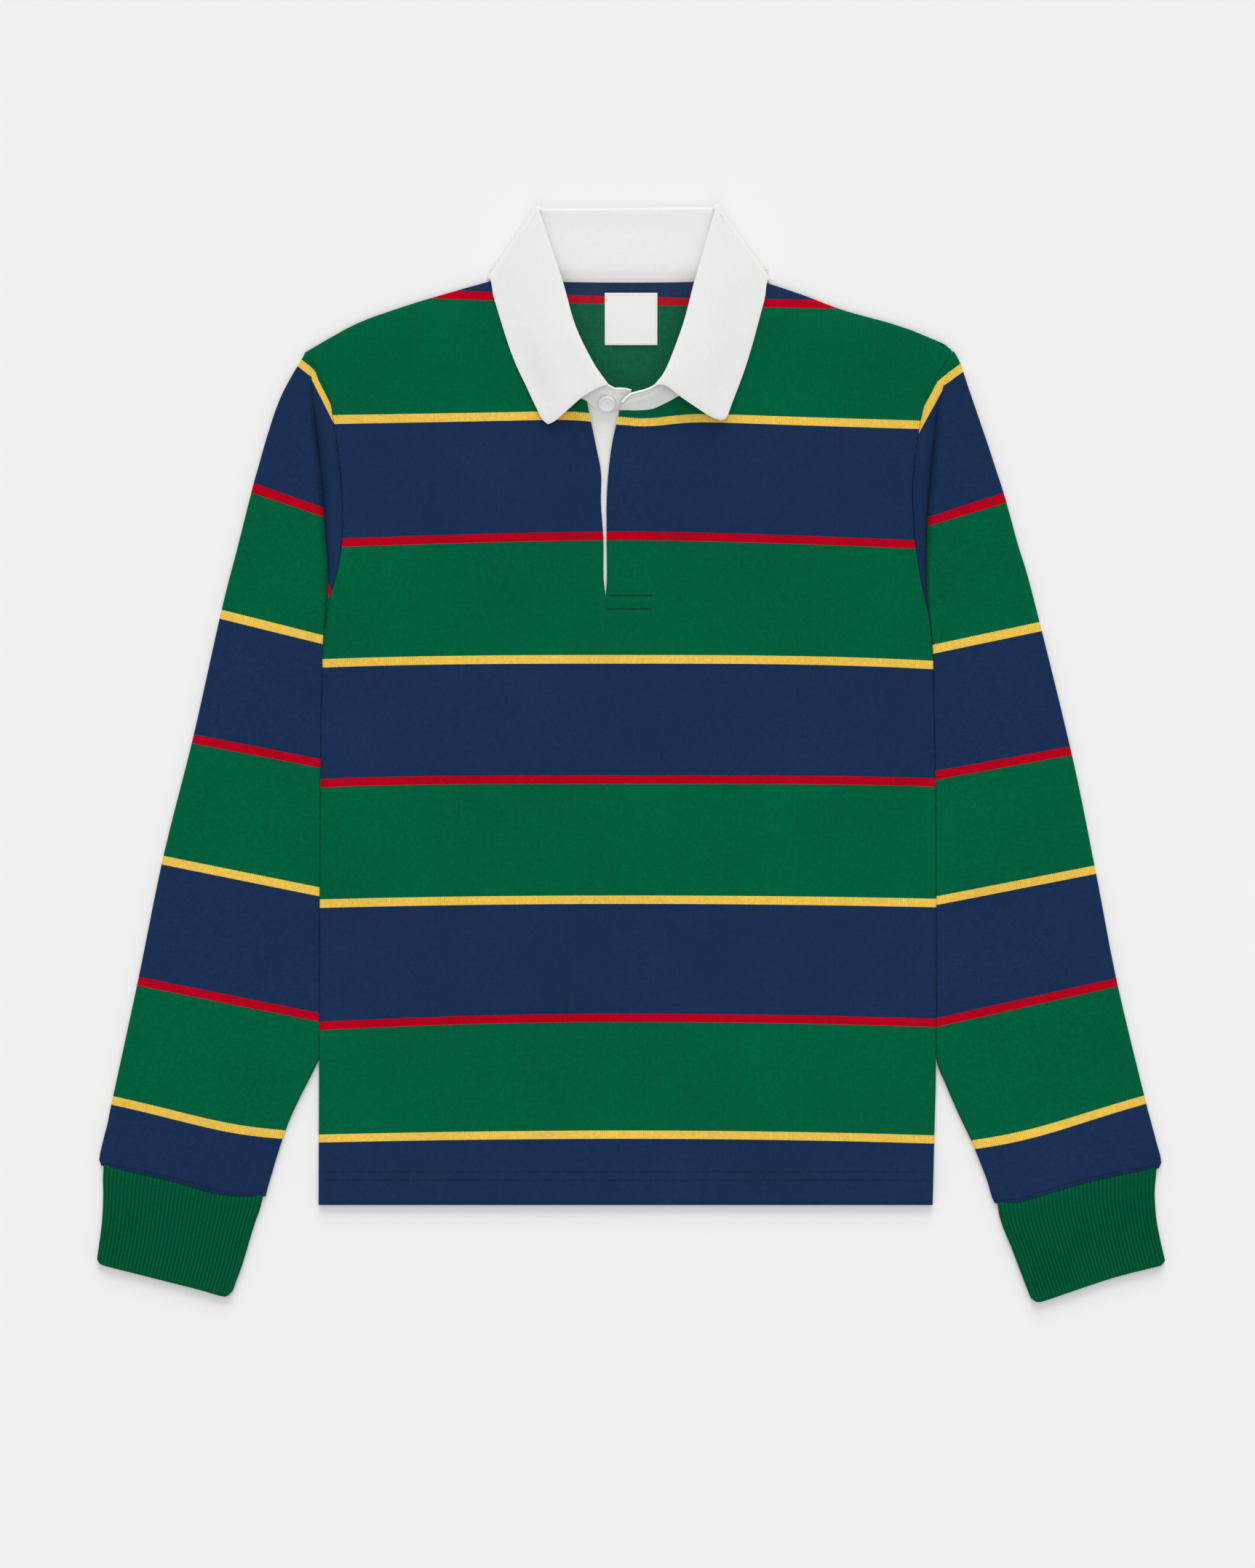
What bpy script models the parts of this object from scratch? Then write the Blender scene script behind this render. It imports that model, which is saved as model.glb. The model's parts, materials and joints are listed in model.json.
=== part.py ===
"""A long-sleeved rugby shirt laid out flat on its back: metres, +Z up, hem towards -Y.

Each cloth piece is the middle surface of its wall, made thick by Solidify. A folded edge, such as a side
seam or the outer edge of a sleeve, is a half round whose centre line is at the middle of the flat garment.
Tables are in millimetres: "out" is the distance from the centre front, "up" the height above the hem.
The wearer's right is at -X.
"""

import math

import bpy
import numpy as np

MM = 0.001
SIDES = {"right": -1, "left": 1}

# Walls and layers, mm
BODY_WALL = 1.2
COLLAR_WALL = 1.5
CUFF_WALL = 1.8
LABEL_WALL = 1.0
SEAM_GAP = 0.3
LOFT = 4.4
CUFF_LOFT = 5.0
SLEEVE_FULLNESS = 1.0

# Folded edges: angles round the half round, from its outermost point to the flat layer
FOLD_ANGLES = np.radians((45, 90))
FOLD_START = 0.65

# How many stretches each edge is drawn in
SIDE_STEPS = 4
ARMHOLE_STEPS = 7
SHOULDER_STEPS = 4
NECK_STEPS = 6
CUFF_STEPS = 3

# Body outline, mm: (out, up) columns, hem to armpit, armhole seam from shoulder tip to armpit, shoulder
SIDE_SEAM = {
    "right": ((227.5, 0), (226.5, 225), (225.5, 400), (222.5, 436)),
    "left": ((226.5, 0), (229.5, 149), (227.5, 385), (225.5, 424)),
}
ARMHOLE = {
    "right": ((237, 633), (226, 612), (219, 592), (212, 540), (210.5, 500), (213.5, 474), (219, 454), (222.5, 436)),
    "left": ((242, 631), (228, 611), (219, 588), (212, 540), (213, 500), (217, 468), (223, 440), (225.5, 424)),
}
SHOULDER = {
    "right": ((237, 633), (203, 652), (174, 663), (139, 674), (93, 687)),
    "left": ((242, 631), (231, 639), (202, 651), (161, 663), (129, 675), (93, 687)),
}
BACK_NECK_DROP = 3.0

# Front neckline from the shoulder to the slit, and the slit from its foot up; x here has its own sign
NECKLINE = {
    "right": ((-93, 687), (-84, 660), (-70, 628), (-50, 606), (-29.7, 595.6)),
    "left": ((93, 687), (84, 658), (70, 628), (52, 608), (24, 592), (12, 589), (-5.4, 589)),
}
SLIT_FOOT = (-15.7, 451)
SLIT_EDGE = {
    "right": (SLIT_FOOT, (-17.3, 494), (-19.2, 520), (-19.2, 543), (-22.7, 562), (-29.7, 595.6)),
    "left": (SLIT_FOOT, (-15.1, 500), (-14.6, 531), (-11.3, 562), (-5.4, 589)),
}
FRONT_LIFT = 3.0
FRONT_LIFT_CENTRE = (-12, 596)
FRONT_LIFT_REACH = 34

# Sleeves, mm: (out, up) columns, outer fold from shoulder tip to cuff; inner fold below the side seam
SLEEVE_OUTER = {
    "right": ((237, 633), (244, 621), (255, 601), (265, 574), (274, 537), (300, 441), (321, 347), (343, 259),
              (362, 166), (382, 73), (389, 30)),
    "left": ((242, 631), (249, 616), (255, 601), (265, 577), (280, 526), (300, 454), (329, 336), (347, 248),
             (363, 165), (385, 73), (394, 28)),
}
SLEEVE_PARTING = 108
SLEEVE_INNER_END = {
    "right": ((230, 106), (236, 92), (251.5, 56), (265.5, 22), (268.5, 6)),
    "left": ((231, 104), (236, 92), (255.5, 48), (267.5, 18), (273.5, 1)),
}
SLEEVE_CLEARANCE = 1.7
# One row a section: its place along the outer fold, and along the inner fold
SLEEVE_SECTIONS = ((0.09, 0.05), (0.22, 0.13), (0.38, 0.27), (0.53, 0.43), (0.68, 0.59), (0.825, 0.75),
                   (0.915, 0.875), (1.0, 1.0))
# The pleat by the armhole, mm: (out, up) along its fold, and how far its rows stand above the flat layer
PLEAT = {
    "right": ((238, 630), (234.5, 612), (233, 585), (231, 552), (227, 519), (223.5, 485), (223, 455), (224.4, 437)),
    "left": ((243, 628), (236, 612), (230.5, 575), (226.5, 552), (224, 527), (222.5, 500), (224, 465), (227.4, 425)),
}
PLEAT_ROWS = ((0.0, 0.0, 0.0), (0.5, 0.0, -0.7), (1.0, 0.0, -1.0), (1.0, 1.8, 0.6))

# Cuffs, mm: (out, up) columns
CUFF_SEAM = {
    "right": ((389, 30), (367, 22), (338, 16), (309, 9), (288, 5), (268.5, 6)),
    "left": ((394, 28), (379, 26.5), (356, 23), (333, 17), (310, 9), (293, 2.5), (273.5, 1)),
}
CUFF_END = {
    "right": ((392, -41), (383, -46), (367, -50), (338, -58), (300, -67.5), (292, -62)),
    "left": ((398, -42), (388, -47), (372, -51), (349, -58), (326, -65.5), (306, -71.5)),
}
CUFF_OUTER = {
    "right": ((389, 29.5), (387, 8), (388, -18), (392, -41)),
    "left": ((394, 27.5), (391, 12), (392, -9), (398, -42)),
}
CUFF_INNER = {
    "right": ((268.5, 5.5), (278, -16), (285, -39), (292, -62)),
    "left": ((273.5, 0.5), (281, -17), (295, -56), (306, -71.5)),
}

# Collar, mm: the fold line from the turn at the side of the neck to the centre front; x has its own sign
FOLD_LINE = {
    "right": ((-66, 740), (-48.5, 686), (-38.5, 651), (-25, 623), (-14, 607)),
    "left": ((66.5, 741), (51, 686), (42, 652), (29.5, 619), (21, 607)),
}
FOLD_ROUND = 1.65
FOLD_HEIGHT_BACK = 2.4
FOLD_HEIGHT_SIDE = 8.4
FOLD_HEIGHT_FRONT = 19.0
WING_OUTER = {
    "right": ((-103, 687.5), (-86, 633), (-74, 606), (-64.5, 583), (-60.5, 578.5)),
    "left": ((106, 686.5), (90, 628), (76, 590), (74.5, 583.5), (72.5, 582)),
}
WING_FRONT = {
    "right": ((-14, 607), (-22, 604), (-33, 598.5), (-53, 583), (-60.5, 578.5)),
    "left": ((21, 607), (29, 606), (38, 600), (66, 583.5), (72.5, 582)),
}
WING_SHARES = (0.25, 0.5, 0.75, 1.0)
WING_CLEARANCE = 0.5
WING_TIP_LIFT = 2.5
FALL_BACK_EDGE = 693.8
STAND_SHARES = (0.45, 0.84, 1.0)
STAND_SEAM_GAP = 0.95
STAND_STEP_HEIGHT = 3.2
# The stand's ends, past the wings: x and y on the seam, x and y on the free edge, heights there
STAND_END = {
    "right": ((-22, 589.5, -8, 606.5, 5.6, 18.0), (-12, 588.5, -1, 606, 4.4, 16.5), (-5, 590.3, 3.5, 604, 4.4, 14.5)),
    "left": ((21, 607), (11, 604.5), (3.5, 603.5), (-3.5, 598.5)),
}
STAND_END_LIFT = 2.0

# Placket, label and button, mm
PLACKET = {"left_x": -34.5, "right_x": 0.5, "foot": 439.0, "head": 585.0}
PLACKET_HEIGHT = 2.2
PLACKET_LIFT_SHARE = 0.6
LABEL = {"left_x": -16.4, "right_x": 22.7, "foot": 637.7, "head": 676.6}
BUTTON_CENTRE = (-14.6, 594.5)
BUTTON_TILT = 33.0
BUTTON_STANDOFF = 0.5
# Button's half section: radius and height, mm, from the outside down and round to the dish
BUTTON_PROFILE = ((0, 0), (5.6, 0), (6.6, 0.9), (6.6, 1.9), (6.0, 2.8), (5.2, 2.8), (4.4, 1.9), (0, 1.5))
BUTTON_SIDES = 20

COLOURS = {
    "navy": (0.014, 0.034, 0.114),
    "green": (0.0, 0.13, 0.045),
    "white": (0.82, 0.82, 0.79),
}


def curve(points, shares):
    """Points at these shares of the length of a Catmull-Rom curve through the given points."""
    p = np.asarray(points, float)
    ends = np.vstack([2 * p[0] - p[1], p, 2 * p[-1] - p[-2]])
    t = np.linspace(0, 1, 24, endpoint=False)[:, None]
    spans = [
        b + 0.5 * t * (c - a + t * (2 * a - 5 * b + 4 * c - d + t * (3 * (b - c) + d - a)))
        for a, b, c, d in zip(ends, ends[1:], ends[2:], ends[3:])
    ]
    dense = np.vstack(spans + [p[-1:]])
    along = np.concatenate([[0], np.cumsum(np.linalg.norm(np.diff(dense, axis=0), axis=1))])
    want = np.asarray(shares) * along[-1]
    return np.column_stack([np.interp(want, along, dense[:, k]) for k in range(p.shape[1])])


def even(count):
    return np.linspace(0, 1, count + 1)


def unit(vectors):
    return vectors / np.linalg.norm(vectors, axis=-1, keepdims=True)


def with_folds(row, radius, first=True, last=True):
    """The same row of points, with more of them near its ends, where the cloth turns over."""
    steps = (radius * (1 - np.cos(FOLD_ANGLES)))[:, None]
    parts = [row[:1]]
    if first:
        parts.append(row[0] + unit(row[1] - row[0]) * steps)
    parts.append(row[1:-1])
    if last:
        parts.append(row[-1] + unit(row[-2] - row[-1]) * steps[::-1])
    parts.append(row[-1:])
    return np.vstack(parts)


def coons(foot, head, first, last):
    """The patch between four edges: foot and head run along u, first and last run along v."""

    def shares(a, b):
        lengths = np.linalg.norm(np.diff(a, axis=0), axis=1) + np.linalg.norm(np.diff(b, axis=0), axis=1)
        return np.concatenate([[0], np.cumsum(lengths)]) / lengths.sum()

    u = shares(foot, head)[None, :, None]
    v = shares(first, last)[:, None, None]
    corners = (1 - v) * ((1 - u) * foot[0] + u * foot[-1]) + v * ((1 - u) * head[0] + u * head[-1])
    return (1 - v) * foot[None] + v * head[None] + (1 - u) * first[:, None] + u * last[:, None] - corners


def distance_to(points, line):
    """How far each point is from a polyline, in plan."""
    a, b = line[:-1], line[1:]
    ab = b - a
    ap = points[..., None, :] - a
    t = np.clip((ap * ab).sum(-1) / (ab * ab).sum(-1), 0, 1)
    return np.linalg.norm(ap - t[..., None] * ab, axis=-1).min(-1)


def fold_rise(distance, radius):
    """Height of a rolled layer above the middle of the fold, at a distance from the folded edge."""
    near = np.clip(1 - distance / radius, 0, 1)
    return np.maximum(radius * np.sqrt(1 - near**2), FOLD_START)


def front_lift(points):
    """How far the collar lifts the front round the head of the slit."""
    away = np.linalg.norm(points - np.array(FRONT_LIFT_CENTRE), axis=-1)
    return FRONT_LIFT * np.exp(-((away / FRONT_LIFT_REACH) ** 2))


def signed(side, points):
    """Table rows of (out, up) as points, on the wearer's right or left."""
    return np.asarray(points, float) * (SIDES[side], 1)


# ---- Edges that two pieces share ------------------------------------------------------------------------
BODY_ROUND = (LOFT - BODY_WALL) / 2
BODY_MIDDLE = LOFT / 2


def side_seam(side):
    return curve(signed(side, SIDE_SEAM[side]), even(SIDE_STEPS))


def armhole(side):
    return with_folds(curve(signed(side, ARMHOLE[side]), even(ARMHOLE_STEPS)), BODY_ROUND)


def shoulder(side):
    return curve(signed(side, SHOULDER[side]), even(SHOULDER_STEPS))


def neckline(side):
    return with_folds(curve(NECKLINE[side], even(NECK_STEPS)), BODY_ROUND, last=False)


def back_neckline():
    """From the wearer's right neck point to the left, dipping a little at the middle."""
    ends = shoulder("right")[-1], shoulder("left")[-1]
    share = even(NECK_STEPS)[:, None]
    line = (1 - share) * ends[0] + share * ends[1]
    line[:, 1] -= BACK_NECK_DROP * np.sin(np.pi * share[:, 0]) ** 0.5
    return with_folds(line, BODY_ROUND)


def folded_edges():
    """The side seams and shoulder seams, where the front layer turns over into the back layer."""
    return [side_seam(s) for s in SIDES] + [shoulder(s) for s in SIDES]


# ---- Blender ---------------------------------------------------------------------------------------------
def empty_scene():
    for item in list(bpy.data.objects):
        bpy.data.objects.remove(item)


def material(name, colour, roughness):
    made = bpy.data.materials.new(name)
    made.use_nodes = True
    shader = made.node_tree.nodes["Principled BSDF"]
    shader.inputs["Base Color"].default_value = (*colour, 1)
    shader.inputs["Roughness"].default_value = roughness
    shader.inputs["Metallic"].default_value = 0.0
    made.diffuse_color = (*colour, 1)
    return made


def grid_faces(rows, columns, closed=False):
    """Quads of a grid of points, counted row by row; closed joins the last column to the first."""
    index = np.arange(rows * columns).reshape(rows, columns)
    if closed:
        index = np.hstack([index, index[:, :1]])
    a, b, c, d = index[:-1, :-1], index[:-1, 1:], index[1:, 1:], index[1:, :-1]
    return np.stack([a, b, c, d], axis=-1).reshape(-1, 4)


def cloth(name, points, faces, wall, finish, offset=0.0):
    """A cloth piece: an open surface in millimetres, given its wall by Solidify."""
    mesh = bpy.data.meshes.new(name)
    mesh.from_pydata((points.reshape(-1, 3) * MM).tolist(), [], faces.tolist())
    mesh.shade_smooth()
    piece = bpy.data.objects.new(name, mesh)
    shirt.objects.link(piece)
    mesh.materials.append(finish)
    thick = piece.modifiers.new("Wall", "SOLIDIFY")
    thick.thickness = wall * MM
    thick.offset = offset
    return piece


def layer(plan, height):
    return np.concatenate([plan, np.broadcast_to(height, plan.shape[:-1])[..., None]], axis=-1)


def strip(grid, closed=False):
    rows, columns = grid.shape[:2]
    return grid.reshape(-1, 3), grid_faces(rows, columns, closed)


# ---- Body ------------------------------------------------------------------------------------------------
def body_side(side):
    """The panel's edge from hem to shoulder tip: the side seam, then the armhole seam."""
    return np.vstack([side_seam(side), armhole(side)[::-1][1:]])


def fold_columns(grid, first=True, last=True):
    return np.stack([with_folds(row, BODY_ROUND, first, last) for row in grid])


def panel_height(plan, upper):
    """Middle surface of the front (upper) or back layer: flat, and rolled to the middle at folded edges."""
    nearest = np.min([distance_to(plan, edge) for edge in folded_edges()], axis=0)
    rise = fold_rise(nearest, BODY_ROUND)
    return BODY_MIDDLE + rise + front_lift(plan) if upper else BODY_MIDDLE - rise


def back_panel(finish):
    neck = back_neckline()
    head = np.vstack([shoulder("right"), neck[1:-1], shoulder("left")[::-1]])
    hem_ends = side_seam("right")[0], side_seam("left")[0]
    share = even(len(head) - 1)[:, None]
    foot = (1 - share) * hem_ends[0] + share * hem_ends[1]
    plan = fold_columns(coons(foot, head, body_side("right"), body_side("left")))
    return cloth("back_panel", *strip(layer(plan, panel_height(plan, upper=False))), BODY_WALL, finish)


def front_half(side):
    """Half of the front, from its side to the slit, or to the centre below the slit's foot."""
    edge = body_side(side)
    head = np.vstack([shoulder(side), neckline(side)[1:]])
    foot_point = np.array([SLIT_FOOT[0], 0.0])
    below = np.sum(edge[:, 1] < SLIT_FOOT[1])
    centre = foot_point + (np.array(SLIT_FOOT) - foot_point) * even(below)[:, None]
    slit = curve(SLIT_EDGE[side], even(len(edge) - below - 1))
    middle = np.vstack([centre, slit[1:]])
    share = even(len(head) - 1)[:, None]
    foot = (1 - share) * edge[0] + share * foot_point
    return fold_columns(coons(foot, head, edge, middle), last=False), below


def front_panel(finish):
    (right, below_right), (left, _) = front_half("right"), front_half("left")
    rows, columns = right.shape[:2]
    halves = [layer(plan, panel_height(plan, upper=True)) for plan in (right, left)]
    faces = np.vstack([grid_faces(rows, columns), grid_faces(*left.shape[:2])[:, ::-1] + rows * columns])
    points = np.vstack([half.reshape(-1, 3) for half in halves])
    joined = np.arange(len(points))
    for row in range(below_right + 1):
        joined[rows * columns + row * left.shape[1] + left.shape[1] - 1] = row * columns + columns - 1
    faces = joined[faces]
    used, faces = np.unique(faces, return_inverse=True)
    return cloth("front_panel", points[used], faces.reshape(-1, 4), BODY_WALL, finish)


# ---- Sleeves and cuffs -----------------------------------------------------------------------------------
def sleeve_inner(side):
    """The fold that lies beside the body, then leaves it below the parting height."""
    seam = curve(signed(side, SIDE_SEAM[side]), even(40))
    seam[:, 0] += SIDES[side] * SLEEVE_CLEARANCE
    beside = seam[::-1][(seam[::-1][:, 1] > SLEEVE_PARTING) & (seam[::-1][:, 1] < seam[-1, 1] - 2)][::6]
    return np.vstack([beside, signed(side, SLEEVE_INNER_END[side])])


def tube(name, plan, upper, lower, wall, finish):
    """A flattened tube: rows of plan points run across it, with its upper and lower middle surfaces."""
    top = layer(plan, upper)
    bottom = layer(plan, lower)[:, -2:0:-1]
    return cloth(name, *strip(np.concatenate([top, bottom], axis=1), closed=True), wall, finish)


def sleeve(side, finish):
    sign = SIDES[side]
    seam = armhole(side)
    across = np.concatenate([[0], np.cumsum(np.linalg.norm(np.diff(seam, axis=0), axis=1))])
    rise = fold_rise(np.minimum(across, across[-1] - across), BODY_ROUND)
    seam[:, 0] += sign * (SEAM_GAP + BODY_WALL * 0.8 * (1 - rise / BODY_ROUND))
    pleat = curve(signed(side, PLEAT[side]), even(ARMHOLE_STEPS))
    pleat = with_folds(pleat, BODY_ROUND)
    outer = curve(signed(side, SLEEVE_OUTER[side]), [row[0] for row in SLEEVE_SECTIONS])
    inner = curve(sleeve_inner(side), [row[1] for row in SLEEVE_SECTIONS])
    first_rows = [(1 - share) * seam + share * pleat + (sign * out, 0) for share, out, _ in PLEAT_ROWS]
    crest = first_rows[-1]
    cuff_row = with_folds(curve(signed(side, CUFF_SEAM[side]), even(ARMHOLE_STEPS)), BODY_ROUND) + (0, SEAM_GAP)
    edge = len(FOLD_ANGLES)
    below = coons(crest, cuff_row, np.vstack([crest[:1], outer]), np.vstack([crest[-1:], inner]))
    rows = [row[[0, *range(edge + 1, len(row) - edge - 1), -1]] for row in below[1:-1]]
    plan = np.stack(first_rows + [with_folds(row, BODY_ROUND) for row in rows] + [cuff_row])
    across = np.concatenate([[0], np.cumsum(np.linalg.norm(np.diff(plan[0], axis=0), axis=1))])
    belly = np.sin(np.pi * across / across[-1])
    rise = fold_rise(np.minimum(across, across[-1] - across), BODY_ROUND)
    rise[[0, -1]] = 0.0
    extra = np.array([row[2] for row in PLEAT_ROWS] + [SLEEVE_FULLNESS] * (len(plan) - len(PLEAT_ROWS)))
    extra[-1] = 0.0
    upper = BODY_MIDDLE + rise + extra[:, None] * np.clip(belly, 0, 1)
    return tube(f"sleeve_{side}", plan, upper, np.broadcast_to(BODY_MIDDLE - rise, upper.shape), BODY_WALL, finish)


def cuff(side, finish):
    radius = (CUFF_LOFT - CUFF_WALL) / 2
    sides = [curve(signed(side, table[side]), even(CUFF_STEPS)) for table in (CUFF_OUTER, CUFF_INNER)]
    ends = [curve(signed(side, table[side]), even(ARMHOLE_STEPS)) for table in (CUFF_SEAM, CUFF_END)]
    plan = coons(*ends, *sides)
    plan[0, :, 1] -= SEAM_GAP
    plan = np.stack([with_folds(row, radius) for row in plan])
    across = np.concatenate([[0], np.cumsum(np.linalg.norm(np.diff(plan[0], axis=0), axis=1))])
    rise = fold_rise(np.minimum(across, across[-1] - across), radius)
    rise[[0, -1]] = 0.0
    middle = CUFF_LOFT / 2
    return tube(f"cuff_{side}", plan, middle + rise, middle - rise, CUFF_WALL, finish)


# ---- Collar ----------------------------------------------------------------------------------------------
# Stations run round the neck from the wearer's right front, round the back, to the left front. Each one is
# a line from the fold, where the fall turns over the stand, out to the seam or to the fall's free edge.
TURN_ANGLES = np.radians((90, 45, 0, -45, -90))


def turn_outward(side):
    """Which way, in plan, the folded collar points at the side of the neck."""
    along = unit(np.subtract(WING_OUTER[side][0], FOLD_LINE[side][0]))
    return np.array([along[1], -along[0]]) * -SIDES[side]


def half_round(point, outward, high, low):
    """Points round a turn whose outermost one is at the given place, from its high layer to its low one."""
    radius = (high - low) / 2
    plan = point + outward * radius * (np.cos(TURN_ANGLES)[:, None] - 1)
    return layer(plan, (high + low) / 2 + radius * np.sin(TURN_ANGLES))


def fold_front(side, shares, line=None):
    """The fold from the side of the neck to the front, rising on the way."""
    plan = curve(line or FOLD_LINE[side], shares)
    return layer(plan, FOLD_HEIGHT_SIDE + (FOLD_HEIGHT_FRONT - FOLD_HEIGHT_SIDE) * np.asarray(shares))


def fold_turn(side):
    """The fold round the side of the neck, and the way from its centre line to the fall."""
    outward = turn_outward(side)
    points = half_round(np.array(FOLD_LINE[side][0]), outward, FOLD_HEIGHT_SIDE, FOLD_HEIGHT_BACK)
    normals = layer(outward * np.cos(TURN_ANGLES)[:, None], np.sin(TURN_ANGLES))
    return points, normals


def round_the_neck(front, turning, back):
    """Stations in order, from a function for the front of each side, one for its turn, and the back's."""
    return np.vstack([front("right")[::-1], turning("right"), back, turning("left")[::-1], front("left")])


def collar_fold(front_shares, back_steps, left_line=None):
    """The fold's points and the directions from it to the fall, at each station."""
    start, end = (fold_turn(side)[0][-1] for side in SIDES)
    share = even(back_steps)[1:-1, None]
    back = (1 - share) * start + share * end
    lines = {"right": None, "left": left_line}
    points = round_the_neck(
        lambda side: fold_front(side, front_shares, lines[side]), lambda side: fold_turn(side)[0], back
    )
    up, down = np.array([[0, 0, 1.0]]), np.array([[0, 0, -1.0]])
    normals = round_the_neck(
        lambda side: up.repeat(len(front_shares), 0), lambda side: fold_turn(side)[1], down.repeat(len(back), 0)
    )
    return points, normals


def from_fold(fold, normals, ends, shares):
    """Each station's line: round the fold to its layer, then straight to the far edge."""
    start = fold + normals * FOLD_ROUND
    across = unit(ends - start)[:, None]
    angles = np.concatenate([[FOLD_START / FOLD_ROUND], FOLD_ANGLES])[:, None]
    rolled = fold[:, None] + FOLD_ROUND * (across * (1 - np.cos(angles)) + normals[:, None] * np.sin(angles))
    share = np.array(shares)[:, None]
    straight = (1 - share) * start[:, None] + share * ends[:, None]
    return np.concatenate([rolled, straight], axis=1)


def seam_front(side):
    """The stand's seam edge on the front neckline, a gap inside it, from the shoulder to the slit."""
    line = neckline(side)
    away = np.gradient(line, axis=0)
    away = unit(np.column_stack([away[:, 1], -away[:, 0]])) * SIDES[side]
    return layer(line + away * STAND_SEAM_GAP, panel_height(line, upper=True))


def collar_stand(finish):
    steps = len(FOLD_ANGLES)
    shares = even(NECK_STEPS)[1:]
    neck = back_neckline()
    back = layer(neck + (0, STAND_SEAM_GAP), np.maximum(panel_height(neck, upper=False), COLLAR_WALL / 2))
    fronts = {side: seam_front(side) for side in SIDES}

    def turning(side):
        front = fronts[side][:steps + 1][::-1]
        behind = back[:steps + 1] if side == "right" else back[::-1][:steps + 1]
        tip = (front[-1:] + behind[:1]) / 2
        tip[:, 2] = BODY_MIDDLE
        return np.vstack([front[:-1], tip, behind[1:]])

    ends = round_the_neck(lambda side: fronts[side][steps + 1:], turning, back[steps + 1:-steps - 1])
    line = FOLD_LINE["left"][:-1] + STAND_END["left"]
    fold, normals = collar_fold(shares, NECK_STEPS, line)
    ends[-1, 2] += STAND_END_LIFT
    free = np.array(STAND_END["right"])[::-1]
    fold = np.vstack([free[:, [2, 3, 5]], fold])
    ends = np.vstack([free[:, [0, 1, 4]], ends])
    normals = np.vstack([normals[:1].repeat(len(free), 0), normals])
    points = from_fold(fold, -normals, ends, STAND_SHARES)
    over_fall = (normals[:, 2] <= 0)
    points[over_fall, -2, 2] = np.maximum(points[over_fall, -2, 2], STAND_STEP_HEIGHT)
    return cloth("collar_stand", *strip(points), COLLAR_WALL, finish)


def wing_edge_height(plan, shares):
    return LOFT + WING_CLEARANCE + COLLAR_WALL / 2 + front_lift(plan) + WING_TIP_LIFT * np.asarray(shares) ** 3


def collar_fall(finish):
    shares = even(NECK_STEPS)
    low = COLLAR_WALL / 2

    def front(side):
        plan = curve(WING_OUTER[side], shares)
        return layer(plan, wing_edge_height(plan, shares))[1:]

    def turning(side):
        point = np.array(WING_OUTER[side][0], float)
        return half_round(point, turn_outward(side), wing_edge_height(point, 0.0), low)

    start, end = (turning(side)[-1] for side in SIDES)
    share = even(NECK_STEPS)[1:-1, None]
    back = (1 - share) * start + share * end
    ends = round_the_neck(front, turning, back)
    ends[len(shares) - 1 + len(TURN_ANGLES) - 1:-len(shares) - len(TURN_ANGLES) + 2, 1] = FALL_BACK_EDGE
    fold, normals = collar_fold(shares[1:], NECK_STEPS)
    points = from_fold(fold, normals, ends, WING_SHARES)
    rolled = len(FOLD_ANGLES) + 1
    for side, rows in (("right", slice(len(shares) - 2, None, -1)), ("left", slice(1 - len(shares), None))):
        bow_wing(points, rows, rolled, side, shares)
    return cloth("collar_fall", *strip(points), COLLAR_WALL, finish)


def bow_wing(points, rows, rolled, side, shares):
    """Bends a wing's stations so that the last one follows the wing's front edge."""
    share = np.array(WING_SHARES)[:, None]
    edge = curve(WING_FRONT[side], share[:, 0])
    straight = (1 - share) * np.array(WING_FRONT[side][0]) + share * np.array(WING_FRONT[side][-1])
    bow = (edge - straight)[None] * (shares[1:, None, None] ** 2)
    points[rows, rolled:, :2] += bow


# ---- Trims -----------------------------------------------------------------------------------------------
def oblong(spots, columns, rows):
    x = np.linspace(spots["left_x"], spots["right_x"], columns)
    y = np.linspace(spots["foot"], spots["head"], rows)
    return np.stack(np.meshgrid(x, y), axis=-1)


def placket_under(finish):
    plan = oblong(PLACKET, 4, 9)
    height = PLACKET_HEIGHT + PLACKET_LIFT_SHARE * front_lift(plan)
    return cloth("placket_under", *strip(layer(plan, height)), BODY_WALL, finish)


def neck_label(finish):
    plan = oblong(LABEL, 3, 3)
    height = BODY_WALL + SEAM_GAP + LABEL_WALL / 2
    return cloth("neck_label", *strip(layer(plan, height)), LABEL_WALL, finish)


def button_place(stand):
    """Where the button lies: over the middle of the stand's wall at its centre, and how high that is."""
    depsgraph = bpy.context.evaluated_depsgraph_get()
    x, y = np.array(BUTTON_CENTRE) * MM
    found, spot, _, _ = stand.evaluated_get(depsgraph).ray_cast((x, y, 1.0), (0, 0, -1))
    if not found:
        raise ValueError("the button has no stand under it")
    return spot


def neck_button(stand, finish):
    spot = button_place(stand)
    mesh = bpy.data.meshes.new("neck_button")
    profile = [(radius * MM, 0, height * MM) for radius, height in BUTTON_PROFILE[::-1]]
    mesh.from_pydata(profile, [(i, i + 1) for i in range(len(profile) - 1)], [])
    button = bpy.data.objects.new("neck_button", mesh)
    shirt.objects.link(button)
    mesh.materials.append(finish)
    turned = button.modifiers.new("Turned", "SCREW")
    turned.steps = turned.render_steps = BUTTON_SIDES
    turned.use_merge_vertices = True
    turned.merge_threshold = 0.00001
    tilt = math.radians(BUTTON_TILT)
    normal = np.array([0, -math.sin(tilt), math.cos(tilt)])
    button.rotation_euler = (tilt, 0, 0)
    button.location = np.array(spot) + normal * BUTTON_STANDOFF * MM
    return button


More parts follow.
